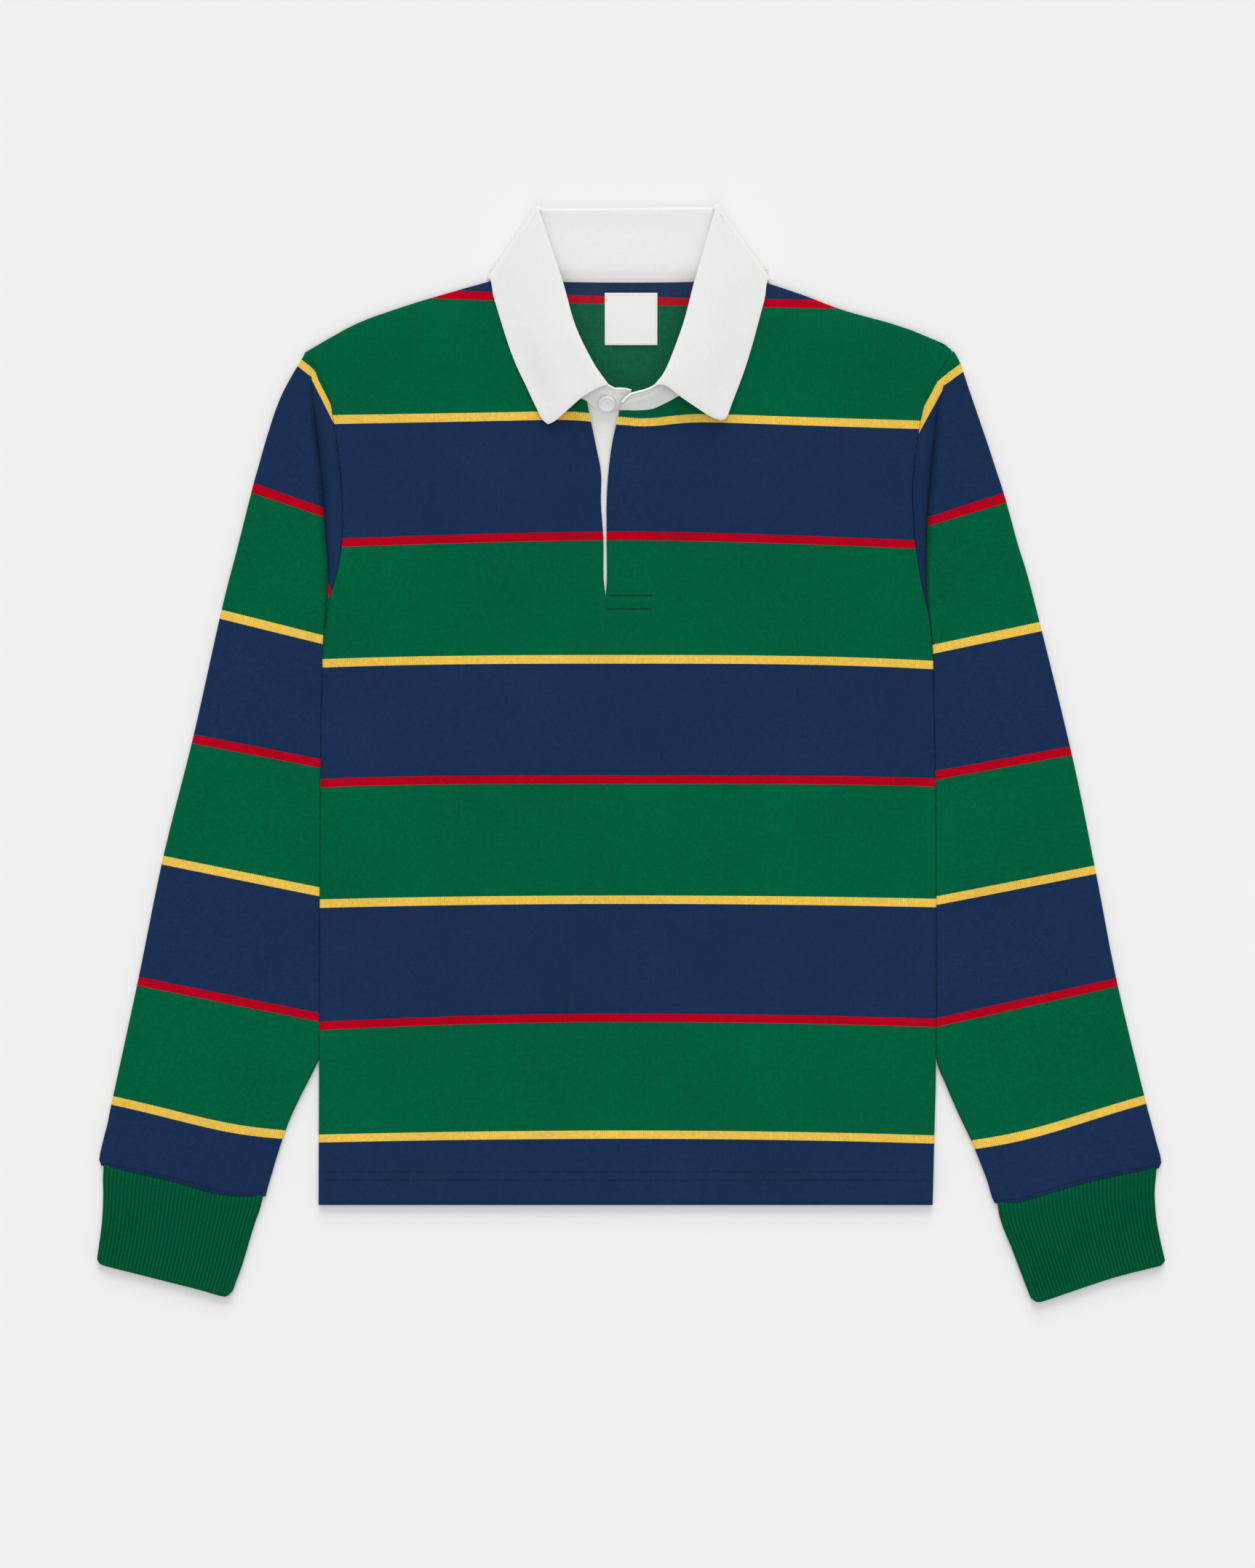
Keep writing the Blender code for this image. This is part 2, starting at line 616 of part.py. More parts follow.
def centre_on_origin(pieces):
    """Moves everything so that the origin is under the middle of the shirt."""
    bpy.context.view_layer.update()
    depsgraph = bpy.context.evaluated_depsgraph_get()
    corners = [
        piece.matrix_world @ vertex.co
        for piece in pieces
        for vertex in piece.evaluated_get(depsgraph).data.vertices
    ]
    spread = np.array(corners)
    low, high = spread.min(axis=0), spread.max(axis=0)
    for piece in pieces:
        piece.location.x -= (low[0] + high[0]) / 2
        piece.location.y -= (low[1] + high[1]) / 2
        piece.location.z -= low[2]


empty_scene()
shirt = bpy.data.collections.new("rugby_shirt")
bpy.context.scene.collection.children.link(shirt)

jersey = material("striped jersey", COLOURS["navy"], 0.85)
rib = material("green rib", COLOURS["green"], 0.85)
twill = material("white twill", COLOURS["white"], 0.8)
rubber = material("white rubber", COLOURS["white"], 0.4)

pieces = [back_panel(jersey), front_panel(jersey), placket_under(twill), neck_label(twill)]
for wearer_side in SIDES:
    pieces += [sleeve(wearer_side, jersey), cuff(wearer_side, rib)]
pieces += [collar_stand(twill), collar_fall(twill)]
bpy.context.view_layer.update()
pieces.append(neck_button(pieces[-2], rubber))
centre_on_origin(pieces)
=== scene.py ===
"""Looks of a long-sleeved rugby shirt laid out flat on its back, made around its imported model.

Shapes are worked out in millimetres: "out" is the distance from the centre front, "up" the height above the
hem. Every cloth piece is the middle surface of its wall, on a grid, made thick by Solidify. The wearer's
right is at -X. placed() turns these sizes into the frame's metres.
"""

import json
import math

import bpy
import numpy as np
from bpy.props import FloatProperty, FloatVectorProperty, PointerProperty
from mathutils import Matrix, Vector
from mathutils.bvhtree import BVHTree

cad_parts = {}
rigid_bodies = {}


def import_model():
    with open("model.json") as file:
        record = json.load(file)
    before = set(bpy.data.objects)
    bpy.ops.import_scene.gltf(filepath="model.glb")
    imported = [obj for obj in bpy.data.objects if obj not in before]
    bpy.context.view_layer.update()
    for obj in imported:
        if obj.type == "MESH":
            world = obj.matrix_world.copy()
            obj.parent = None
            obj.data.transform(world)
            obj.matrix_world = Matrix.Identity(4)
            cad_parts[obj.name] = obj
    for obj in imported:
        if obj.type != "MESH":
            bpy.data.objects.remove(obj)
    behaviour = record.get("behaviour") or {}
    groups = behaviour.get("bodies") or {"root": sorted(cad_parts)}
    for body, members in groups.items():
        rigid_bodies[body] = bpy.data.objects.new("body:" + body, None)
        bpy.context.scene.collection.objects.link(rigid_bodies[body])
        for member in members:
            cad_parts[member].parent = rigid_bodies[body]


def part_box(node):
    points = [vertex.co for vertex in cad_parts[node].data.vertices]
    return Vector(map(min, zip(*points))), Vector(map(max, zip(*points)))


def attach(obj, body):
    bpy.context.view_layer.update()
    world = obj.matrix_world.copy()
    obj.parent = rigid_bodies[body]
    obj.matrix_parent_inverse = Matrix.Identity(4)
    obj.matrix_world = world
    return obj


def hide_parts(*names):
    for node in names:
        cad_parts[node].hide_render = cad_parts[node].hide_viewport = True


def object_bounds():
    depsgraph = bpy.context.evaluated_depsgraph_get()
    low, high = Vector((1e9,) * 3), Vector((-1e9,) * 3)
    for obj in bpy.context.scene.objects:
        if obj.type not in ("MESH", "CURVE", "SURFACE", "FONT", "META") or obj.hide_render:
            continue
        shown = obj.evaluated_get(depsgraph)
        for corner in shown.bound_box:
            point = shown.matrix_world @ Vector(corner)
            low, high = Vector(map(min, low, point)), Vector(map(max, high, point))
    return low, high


bl_info = {
    "name": "Rugby Shirt",
    "version": (1, 0, 0),
    "blender": (4, 5, 0),
    "location": "3D View > Sidebar > Rugby Shirt",
    "description": "Builds a striped rugby shirt laid out flat: jersey panels, rib cuffs, collar and trims",
    "category": "Add Mesh",
}

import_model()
CAD_BOX = [list(corner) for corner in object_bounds()]

MM = 0.001
SIDES = {"right": -1, "left": 1}

# ---- Walls and layers, mm --------------------------------------------------------------------------------
BODY_WALL = 1.2
COLLAR_WALL = 1.5
CUFF_WALL = 1.2
LABEL_WALL = 0.6
SEAM_GAP = 0.3
LOFT = 4.4
CUFF_LOFT = 5.0
SLEEVE_FULLNESS = 1.0
EDGE_ROUNDING = 0.35
EDGE_ANGLE = math.radians(50)
FOLD_START = 0.65
BODY_ROUND = (LOFT - BODY_WALL) / 2
BODY_MIDDLE = LOFT / 2

# How finely each edge is drawn
FOLD_ANGLES = np.radians((15, 30, 45, 60, 75, 90))
TURN_ANGLES = np.radians(np.linspace(90, -90, 2 * len(FOLD_ANGLES) + 1))
SIDE_STEPS = 100
ARMHOLE_STEPS = 60
SHOULDER_STEPS = 36
NECK_STEPS = 36
SLEEVE_STEPS = 130
CUFF_STEPS = 26
WING_STEPS = 18

# ---- Body outline, mm: (out, up) columns, hem to armpit, armhole seam from shoulder tip, shoulder ----------
SIDE_SEAM = {
    "right": ((228.3, 0), (227.5, 225), (225.8, 400), (222.5, 436)),
    "left": ((226.5, 0), (229.5, 149), (227.5, 385), (225.5, 424)),
}
ARMHOLE = {
    "right": (
        (237, 633), (226, 612), (219, 592), (212, 540), (210.5, 500), (213.5, 474), (219, 454),
        (222.5, 436),
    ),
    "left": (
        (241.4, 633), (228, 611), (219, 588), (212, 540), (213, 500), (217, 468), (223, 440), (225.5, 424),
    ),
}
SHOULDER = {
    "right": ((237, 633), (203, 652), (174, 663), (139, 674), (93, 687)),
    "left": ((241.4, 633), (237, 636.6), (231, 640.2), (202, 651.5), (161, 663), (129, 675), (93, 687)),
}
BACK_NECK_DROP = 3.0

# Front neckline from the shoulder to the slit, and the slit from its foot up; x here has its own sign
NECKLINE = {
    "right": ((-93, 687), (-84, 660), (-70, 628), (-50, 606), (-29.7, 595.6)),
    "left": ((93, 687), (84, 658), (70, 628), (52, 608), (24, 592), (12, 589), (-5.4, 589)),
}
SLIT_FOOT = (-15.7, 451)
SLIT_EDGE = {
    "right": (
        SLIT_FOOT, (-17.3, 466), (-17.4, 494), (-19.2, 520), (-19.2, 543), (-22.7, 562), (-29.7, 595.6),
    ),
    "left": (SLIT_FOOT, (-14.8, 466), (-15.0, 500), (-14.6, 531), (-11.3, 562), (-5.4, 589)),
}
FRONT_LIFT = 3.0
FRONT_LIFT_CENTRE = (-12, 596)
FRONT_LIFT_REACH = 34

# ---- Sleeves, mm -----------------------------------------------------------------------------------------
SLEEVE_OUTER = {
    "right": (
        (237, 633), (244.2, 621), (248.9, 613), (254.9, 601.6), (260.2, 588.6), (264, 577), (268, 564),
        (273.2, 545.4), (276.7, 533), (288, 488), (300, 441), (321, 347), (343, 259), (362, 166),
        (381.6, 75), (384, 62.5), (387, 51), (389.6, 40), (390.8, 34), (389.3, 29),
    ),
    "left": (
        (241.4, 633), (244.3, 629.2), (247, 623.4), (249.7, 615.5), (253.8, 603), (257.6, 592),
        (262.2, 578.5), (267.5, 563), (273, 546), (279.8, 525), (289.4, 490), (300, 454), (329, 336),
        (347, 248), (363, 165), (384.4, 76), (388, 62.5), (392.2, 46.5), (395.2, 36), (395.9, 31),
        (394.2, 27),
    ),
}
SLEEVE_PARTING = 108
SLEEVE_INNER_END = {
    "right": (
        (230, 105.5), (236, 93.5), (243.5, 78.8), (251.6, 61.0), (259.5, 38), (263.8, 23.5), (267.2, 12),
        (268.5, 6),
    ),
    "left": (
        (231, 104), (236, 92), (245, 71), (255.9, 48), (262.3, 32.5), (267.9, 18), (271, 7), (273.5, 1),
    ),
}
SLEEVE_CLEARANCE = 0.6
# Places along the outer fold, and the places along the inner fold that lie across from them
SLEEVE_ACROSS = (
    (0, 0.09, 0.22, 0.38, 0.53, 0.68, 0.825, 0.915, 1.0),
    (0, 0.05, 0.13, 0.27, 0.43, 0.59, 0.75, 0.875, 1.0),
)
PLEAT = {
    "right": (
        (238.3, 631.4), (234.4, 618), (233.8, 603), (231.7, 584), (229.3, 565), (226.3, 537), (224.5, 513),
        (223, 489), (221.6, 467), (222.6, 447), (223.3, 437),
    ),
    "left": (
        (243.4, 630.6), (237.4, 615), (233.9, 603), (231, 592), (228.9, 575), (227, 556), (224.1, 526),
        (222.7, 500), (222.2, 472), (223.2, 448), (226.3, 425),
    ),
}
# The pleat's rows: share of the way from seam to fold line, then out and up from there, mm
PLEAT_ROWS = (
    (0.0, 0.0, 0.0), (0.15, 0.0, -0.5), (0.35, 0.0, -1.0), (0.55, 0.0, -1.35), (0.75, 0.0, -1.55),
    (0.95, 0.0, -1.6), (1.0, 0.9, -1.5), (1.0, 1.2, -0.8), (1.0, 0.7, -0.1), (1.0, 0.5, 0.45),
    (1.0, 0.9, 0.9), (1.0, 2.0, 1.1),
)
PLEAT_INSIDE = 8
# How much painted shade each row from the seam takes: the jersey's colour is darkened in and beside the
# pleat's fold
PLEAT_SHADE = (0.3, 0.1, 0.05, 0.1, 0.25, 0.6, 0.9, 1.0, 0.85, 0.7, 0.6, 0.5, 0.1)

# ---- Cuffs, mm: (out, up) columns ------------------------------------------------------------------------
CUFF_SEAM = {
    "right": (
        (389.3, 29), (378.5, 26.4), (357, 21.8), (335, 17), (314, 10.8), (303, 8), (287, 6.2), (268.5, 6),
    ),
    "left": (
        (394.2, 27), (388, 26), (375, 23.8), (361, 21.2), (334.5, 15), (321, 11), (307.5, 6.8), (291, 2),
        (273.5, 1),
    ),
}
CUFF_END = {
    "right": (
        (392.3, -40), (390.6, -43.5), (384, -45.9), (359.6, -52.1), (319, -62.4), (300.5, -67.6),
        (296, -67.2), (292.8, -63.7),
    ),
    "left": (
        (398.6, -41.5), (395.5, -45), (385.6, -47.5), (361, -53.9), (334.5, -62.6), (313, -70),
        (304.5, -72), (300.3, -69.2),
    ),
}
CUFF_OUTER = {
    "right": ((389.3, 28.5), (387.8, 12), (388.2, -5), (389.3, -18.4), (392.3, -40)),
    "left": ((394.2, 26.5), (391, 12), (392, -9), (395, -26), (398.6, -41.5)),
}
CUFF_INNER = {
    "right": ((268.5, 5.5), (273.2, -5), (277.3, -16), (285.4, -43), (290.8, -58), (292.8, -63.7)),
    "left": ((273.5, 0.5), (280.3, -18.4), (286, -32), (291, -45.4), (297.6, -62.5), (300.3, -69.2)),
}
RIBS = 40
RIB_POINTS = 6
# How the cuff tucks under the sleeve's end: up, down and in from its sides, and how far along it that lasts
CUFF_TUCK = {"up": 1.6, "down": 1.0, "in": 1.7, "fade": 2.4}
SEAM_GROOVE = 0.25
HEM_ROWS = (18.4, 24.8)
HEM_RISE = 0.45

# ---- Collar, mm: the fold line from the turn at the side of the neck to the centre front -------------------
FOLD_LINE = {
    "right": ((-66, 740), (-48.5, 686), (-38.5, 651), (-25, 623), (-14, 607)),
    "left": ((66.5, 741), (51, 686), (42, 652), (29.5, 619), (21, 607)),
}
FOLD_ROUND = 1.65
FOLD_HEIGHT_BACK = 2.4
FOLD_HEIGHT_SIDE = 8.4
FOLD_HEIGHT_FRONT = 19.0
WING_OUTER = {
    "right": ((-103, 687.5), (-86, 633), (-74, 606), (-64.8, 586.5), (-62, 581.6), (-58.2, 578.6)),
    "left": ((106, 686.5), (90, 628), (77, 592), (75, 586), (73, 582.6), (69.7, 581.5)),
}
WING_FRONT = {
    "right": ((-14, 607), (-22, 604), (-33, 597.8), (-43.7, 588.8), (-52.6, 581.2), (-58.2, 578.6)),
    "left": ((21, 607), (29, 606), (39, 598.7), (53.5, 589.2), (62.5, 583.8), (69.7, 581.5)),
}
WING_CLEARANCE = 0.5
WING_TIP_LIFT = 2.5
WING_BULGE = 1.3
FALL_BACK_EDGE = 693.8
STAND_SEAM_GAP = 0.6
STAND_STEP = ((0.84, 1.0), (3.2, 0.75))
# The stand's ends, past the wings. Right: x and y on the seam, x and y on the free edge, and the heights of
# both. Left: the fold's x and y.
STAND_END = {
    "right": (
        (-22, 589.5, -9, 604.3, 5.6, 18.0), (-12, 588.5, -2, 604.4, 4.4, 16.5),
        (-5, 590.3, 3.4, 603.4, 4.4, 14.5),
    ),
    "left": ((21, 607), (16, 604.3), (10, 602.3), (4, 601), (0, 598.3), (-3.6, 594)),
}
STAND_END_LIFT = 2.0
STAND_ROLL = {"width": 6.2, "dent_width": 1.2, "dent": 0.9}

# ---- Placket, label and button, mm -----------------------------------------------------------------------
PLACKET = {"left_x": -34.5, "right_x": 0.5, "foot": 439.0, "head": 599.0}
PLACKET_WALL = 1.0
PLACKET_HEIGHT = 2.6
PLACKET_LIFT_SHARE = 0.25
LABEL = {"left_x": -16.4, "right_x": 22.7, "foot": 637.7, "head": 676.6}
LABEL_HEIGHT = BODY_WALL + SEAM_GAP + 0.35 + LABEL_WALL / 2
LABEL_BOW = 0.15
BUTTON_TILT = 33.0
BUTTON_MIDDLE = 1.4
# Button's half section: radius and height, mm, from the middle of its underside round to the dish
BUTTON_PROFILE = (
    (0, 0), (5.2, 0), (6.0, 0.25), (6.5, 0.8), (6.6, 1.4), (6.5, 2.0), (6.2, 2.5), (5.8, 2.75), (5.3, 2.8),
    (4.9, 2.65), (4.6, 2.3), (4.3, 1.95), (3.9, 1.75), (3.0, 1.6), (2.4, 1.58), (2.2, 1.72), (1.9, 1.74),
    (1.7, 1.58), (0.7, 1.5), (0.5, 1.3), (0.3, 1.15), (0, 1.1),
)
BUTTON_SIDES = 64

# ---- Creases: from, to, width and depth, mm --------------------------------------------------------------
FRONT_CREASES = (
    ((-4, 578), (34, 520), 7, 0.9), ((6, 586), (60, 548), 8, 0.8), ((32, 584), (4, 532), 4.5, 1.1),
    ((13, 582), (-6, 540), 3.5, 0.7), ((-24, 584), (-44, 530), 7, 0.6), ((62, 576), (150, 560), 12, 0.5),
    ((-70, 574), (-150, 568), 12, 0.45), ((-212, 470), (-120, 440), 13, 0.55),
    ((216, 462), (120, 430), 13, 0.55), ((-200, 250), (-60, 236), 16, 0.3), ((205, 180), (80, 205), 16, 0.3),
)
BACK_CREASES = (
    ((-150, 560), (-60, 600), 12, 0.5), ((150, 560), (60, 600), 12, 0.5), ((-190, 300), (0, 280), 16, 0.3),
)
SLEEVE_CREASES = (
    ((232, 420), (285, 452), 9, 0.7), ((240, 300), (312, 318), 12, 0.5), ((300, 250), (345, 205), 12, 0.45),
    ((250, 150), (340, 170), 12, 0.5), ((262, 596), (246, 520), 6, 0.5),
)
WING_HOLLOWS = (
    ((-84, 655), (-56, 574), 9, 1.3), ((-45, 640), (-30, 596), 7, 0.5), ((84, 650), (60, 580), 10, 0.8),
    ((92, 690), (72, 640), 8, 0.5),
)

# ---- Stitches, mm ----------------------------------------------------------------------------------------
STITCH_SIDES = 6
# A stitch's rings: share of its length, radius and height, both in radii of the thread
STITCH_RINGS = (
    (0.0, 0.25, -0.75), (0.12, 0.85, -0.1), (0.5, 1.0, 0.45), (0.88, 0.85, -0.1), (1.0, 0.25, -0.75),
)
# How far, in radii of the thread, the stitches on the underside are sunk in the cloth
UNDERSIDE_SINK = 1.3
HEM_INSET = 2.5
# The rows across the foot of the facing: up, from, to, a stitch's length, and how much thicker the thread is
FACING_BARS = ((452.0, -13.5, 19.0, 2.4, 1.7), (442.0, -16.0, 18.5, 2.2, 1.5))
FACING_PITCH = 1.9
CUFF_STITCH = {"up": 3.0, "pitch": 2.4, "length": 1.8}
NECK_ROW = ((-44.0, 687.2), (50.0, 687.2))
BUTTONHOLE = ((7.2, 593.8), (17.2, 597.6))
BUTTONHOLE_HALF = 0.75
# Pitch, length and thread's radius of the label's border, and how far in it lies
LABEL_STITCH = (2.2, 1.7, 0.22)
LABEL_INSET = 1.3

# ---- Stripes ---------------------------------------------------------------------------------------------
# Stripes are counted from the hem up: even ones are yellow and odd ones red. On the body each has its height
# at the centre front, how far it drops by the side seams, and how late it does so; all mm but the last.
BODY_STRIPES = {
    "up": (51.8, 138.4, 226.0, 315.0, 404.2, 495.9, 587.0, 670.5),
    "drop_right": (2.6, 5.6, 2.6, 2.2, 2.6, 5.4, 5.0, -6.5),
    "drop_left": (3.2, 3.4, 2.2, 1.6, 3.6, 6.6, 8.8, 4.5),
    "lateness": (2.0, 2.0, 2.0, 4.0, 3.0, 1.5, 0.7, 1.0),
}
BODY_HALF = 215.0
# How far the stripes and the columns of stitches are drawn aside round the slit's head
STRIPE_PULL = {"drop": 6.4, "x": 5.0, "up": 584.0, "wide": 32.0, "high": 30.0}
COLUMN_LEAN = {"across": -14.0, "x": 8.0, "wide": 26.0, "up": (500.0, 600.0)}
# On a sleeve each runs straight through two places, out and up by the outer fold and by the inner one; mm
SLEEVE_STRIPES = {
    "right": (
        (381.8, 77.2, 253.3, 51.8), (362.9, 165.8, 228.4, 138.8), (344.5, 255.4, 227.3, 231.7),
        (323.5, 345.6, 227.9, 327.2), (302.4, 437.9, 224.6, 418.5), (277.0, 530.8, 225.7, 513.5),
        (242.0, 623.6, 233.8, 617.0),
    ),
    "left": (
        (384.5, 77.8, 256.5, 44.3), (364.0, 165.2, 229.5, 135.0), (348.3, 248.4, 229.5, 225.2),
        (329.9, 336.4, 228.4, 318.1), (308.9, 428.8, 226.3, 411.5), (280.8, 523.8, 222.5, 506.0),
        (249.5, 621.4, 234.1, 609.8),
    ),
}
# The same in the pleat by the armhole, from the stripe whose count is PLEAT_FIRST up
PLEAT_FIRST = 4
PLEAT_STRIPES = {
    "right": ((223.0, 371.0, 213.0, 351.0), (223.0, 459.0, 213.0, 439.0), (233.8, 616.6, 217.2, 584.0)),
    "left": ((226.0, 323.0, 216.0, 303.0), (226.0, 412.0, 216.0, 392.0), (234.1, 609.8, 217.2, 579.6)),
}
LOWEST_SAG = 3.0
SLEEVE_GRAIN = (1.0, 0.2)
PLEAT_GRAIN = (0.66, 0.75)
PITCH = 89.0
STRIPE_WIDTH = 6.5

# ---- Finishes --------------------------------------------------------------------------------------------
# Painted shade and light: shares of the colour that the deepest fold and a valley between ribs take,
# and what the ribs' crests add
FOLD_SHADE = 0.6
RIB_SHADE = 0.42
RIB_LIGHT = 1.16
REVERSE_TINT = (0.6, 0.6, 0.65)
REVERSE_HAZE = 0.015
# How many times slubs repeat in a metre, across and along their thread
SLUB_ACROSS = 1500.0
SLUB_ALONG = 140.0
# Thread's turn, and the heights of its plies and of the button's unevenness, metres
PLY_LENGTH = 0.0006
PLY_RELIEF = 0.00005
RUBBER_RELIEF = 0.00004

# ---- Stage: the view's height over its width, the camera's sensor in mm, half the floor in metres ---------
VIEW_SHAPE = 1.249855
SENSOR = 36.0
FLOOR_HALF = 4.0
# Slant from straight down and apparent width of two of the lights, degrees
CEILING_LIGHT = (-8.0, 40.0)
FILL_LIGHT = (42.0, 60.0)


# ---- Formulas --------------------------------------------------------------------------------------------
def along_line(line, shares):
    """Places at these shares of a line's length."""
    along = lengths(line)
    want = np.clip(shares, 0, 1) * along[-1]
    return np.column_stack([np.interp(want, along, column) for column in line.T])


def curve(points, shares):
    """Points at these shares of the length of a Catmull-Rom curve through the given points."""
    given = np.asarray(points, float)
    ends = np.vstack([2 * given[0] - given[1], given, 2 * given[-1] - given[-2]])
    t = np.linspace(0, 1, 24, endpoint=False)[:, None]
    spans = [
        b + 0.5 * t * (c - a + t * (2 * a - 5 * b + 4 * c - d + t * (3 * (b - c) + d - a)))
        for a, b, c, d in zip(ends, ends[1:], ends[2:], ends[3:])
    ]
    return along_line(np.vstack(spans + [given[-1:]]), shares)


def lengths(line):
    """Distance travelled along a line at each of its points; a grid is measured along its rows."""
    steps = np.linalg.norm(np.diff(line, axis=-2), axis=-1)
    return np.concatenate([np.zeros(steps.shape[:-1] + (1,)), np.cumsum(steps, axis=-1)], axis=-1)


def even(count):
    """Shares from 0 to 1 in equal steps."""
    return np.linspace(0, 1, count + 1)


def between(start, end, shares):
    """Places at these shares of the straight way from start to end."""
    share = np.asarray(shares)[:, None]
    return (1 - share) * start + share * end


def unit(vectors):
    """The same directions, one long."""
    return vectors / np.linalg.norm(vectors, axis=-1, keepdims=True)


def bell(offset, width):
    """1 in the middle, falling to 1/e at a width from it."""
    return np.exp(-((offset / width) ** 2))


def with_folds(row, radius, first=True, last=True):
    """The same row of points, with more of them near its ends, where the cloth turns over."""
    steps = (radius * (1 - np.cos(FOLD_ANGLES)))[:, None]
    parts = [row[:1]]
    if first:
        parts.append(row[0] + unit(row[1] - row[0]) * steps)
    parts.append(row[1:-1])
    if last:
        parts.append(row[-1] + unit(row[-2] - row[-1]) * steps[::-1])
    parts.append(row[-1:])
    return np.vstack(parts)


def coons(foot, head, first, last):
    """The patch between four edges: foot and head run along u, first and last run along v."""

    def shares(a, b):
        both = lengths(a) + lengths(b)
        return both / both[-1]

    u = shares(foot, head)[None, :, None]
    v = shares(first, last)[:, None, None]
    corners = (1 - v) * ((1 - u) * foot[0] + u * foot[-1]) + v * ((1 - u) * head[0] + u * head[-1])
    return (1 - v) * foot[None] + v * head[None] + (1 - u) * first[:, None] + u * last[:, None] - corners


def distance_to(points, line):
    """How far each point is from a polyline, in plan."""
    nearest = np.full(points.shape[:-1], np.inf)
    for start, along in zip(line[:-1], np.diff(line, axis=0)):
        off = points - start
        share = np.clip((off * along).sum(-1) / (along * along).sum(), 0, 1)
        nearest = np.minimum(nearest, np.linalg.norm(off - share[..., None] * along, axis=-1))
    return nearest


def fold_rise(distance, radius):
    """Height of a rolled layer above the middle of the fold, at a distance from the folded edge."""
    near = np.clip(1 - distance / radius, 0, 1)
    return np.maximum(radius * np.sqrt(1 - near**2), FOLD_START)


def front_lift(points):
    """How far the collar lifts the front round the head of the slit: a bell of one height and reach."""
    away = np.linalg.norm(points - np.array(FRONT_LIFT_CENTRE), axis=-1)
    return FRONT_LIFT * bell(away, FRONT_LIFT_REACH)


def signed(side, points):
    """Table rows of (out, up) as points, on the wearer's right or left."""
    return np.asarray(points, float) * (SIDES[side], 1)


def layer(plan, height):
    """Places in plan with a height each."""
    return np.concatenate([plan, np.broadcast_to(height, plan.shape[:-1])[..., None]], axis=-1)


def smooth(value, low, high):
    """Smooth step from 0 at low to 1 at high."""
    share = np.clip((value - low) / (high - low), 0, 1)
    return share * share * (3 - 2 * share)


def waves(plan, size, height, seed):
    """Gentle unevenness: the mean of six sine waves of about one length, in seeded directions."""
    chance = np.random.default_rng(seed)
    total = 0
    for turn, stretch, phase in chance.random((6, 3)):
        heading = np.array([math.cos(turn * math.pi), math.sin(turn * math.pi)])
        length = size * (0.7 + 0.8 * stretch)
        total = total + np.sin(plan @ heading * 2 * math.pi / length + phase * 2 * math.pi)
    return height * total / 6


def trough(plan, start, end, width, depth):
    """A crease between two places: a bell across it, fading to nothing at both ends as a sine."""
    start, end = np.array(start, float), np.array(end, float)
    along = end - start
    share = ((plan - start) @ along) / (along @ along)
    off = np.linalg.norm(plan - start - share[..., None] * along, axis=-1)
    return -depth * np.sin(np.pi * np.clip(share, 0, 1)) ** 1.3 * bell(off, width)


def side_seam(side):
    """The body's edge from the hem up to the armpit."""
    return curve(signed(side, SIDE_SEAM[side]), even(SIDE_STEPS))


def armhole(side):
    """The armhole seam from the shoulder tip down to the armpit."""
    return with_folds(curve(signed(side, ARMHOLE[side]), even(ARMHOLE_STEPS)), BODY_ROUND)


def shoulder(side):
    """The folded top edge from the shoulder tip to the neck point."""
    return curve(signed(side, SHOULDER[side]), even(SHOULDER_STEPS))


def neckline(side):
    """The front's neck seam from the neck point to the slit."""
    return with_folds(curve(NECKLINE[side], even(NECK_STEPS)), BODY_ROUND, last=False)


def back_neckline():
    """From the wearer's right neck point to the left, dipping a little at the middle as a flat sine."""
    share = even(NECK_STEPS)
    line = between(shoulder("right")[-1], shoulder("left")[-1], share)
    line[:, 1] -= BACK_NECK_DROP * np.sin(np.pi * share) ** 0.5
    return with_folds(line, BODY_ROUND)


# ---- Where things go in the frame ------------------------------------------------------------------------
BACK_LOW, BACK_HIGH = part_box("back_panel")
TIPS_MIDDLE = (SHOULDER["left"][0][0] - SHOULDER["right"][0][0]) / 2
# Where the centre front meets the hem, on the floor
SHIRT_ORIGIN = np.array([(BACK_LOW.x + BACK_HIGH.x) / 2 - TIPS_MIDDLE * MM, BACK_LOW.y, BACK_LOW.z])


def placed(points):
    """Millimetres out from the centre front, up from the hem and above the floor, as places in the frame."""
    return np.asarray(points, float) * MM + SHIRT_ORIGIN


# ---- Meshes ----------------------------------------------------------------------------------------------
def grid_faces(rows, columns, first=0):
    """Quads of a grid of points, counted row by row from a first number."""
    index = first + np.arange(rows * columns).reshape(rows, columns)
    return np.stack([index[:-1, :-1], index[:-1, 1:], index[1:, 1:], index[1:, :-1]], axis=-1).reshape(-1, 4)


def ring_faces(index):
    """Quads between closed rings of points; index holds the points' numbers, a ring in each row."""
    following = np.roll(index, -1, axis=-1)
    corners = index[..., :-1, :], following[..., :-1, :], following[..., 1:, :], index[..., 1:, :]
    return np.stack(corners, axis=-1).reshape(-1, 4)


def mesh_of(name, points, faces, corners_uv=None):
    """A mesh from arrays; each face has the same number of corners."""
    mesh = bpy.data.meshes.new(name)
    mesh.vertices.add(len(points))
    mesh.vertices.foreach_set("co", np.ascontiguousarray(points, np.float32).ravel())
    mesh.loops.add(faces.size)
    mesh.loops.foreach_set("vertex_index", faces.ravel().astype(np.int32))
    mesh.polygons.add(len(faces))
    mesh.polygons.foreach_set("loop_start", (np.arange(len(faces)) * faces.shape[1]).astype(np.int32))
    mesh.update(calc_edges=True)
    if corners_uv is not None:
        mesh.uv_layers.new(name="cloth").data.foreach_set("uv", corners_uv.astype(np.float32).ravel())
    mesh.validate()
    mesh.shade_smooth()
    return mesh


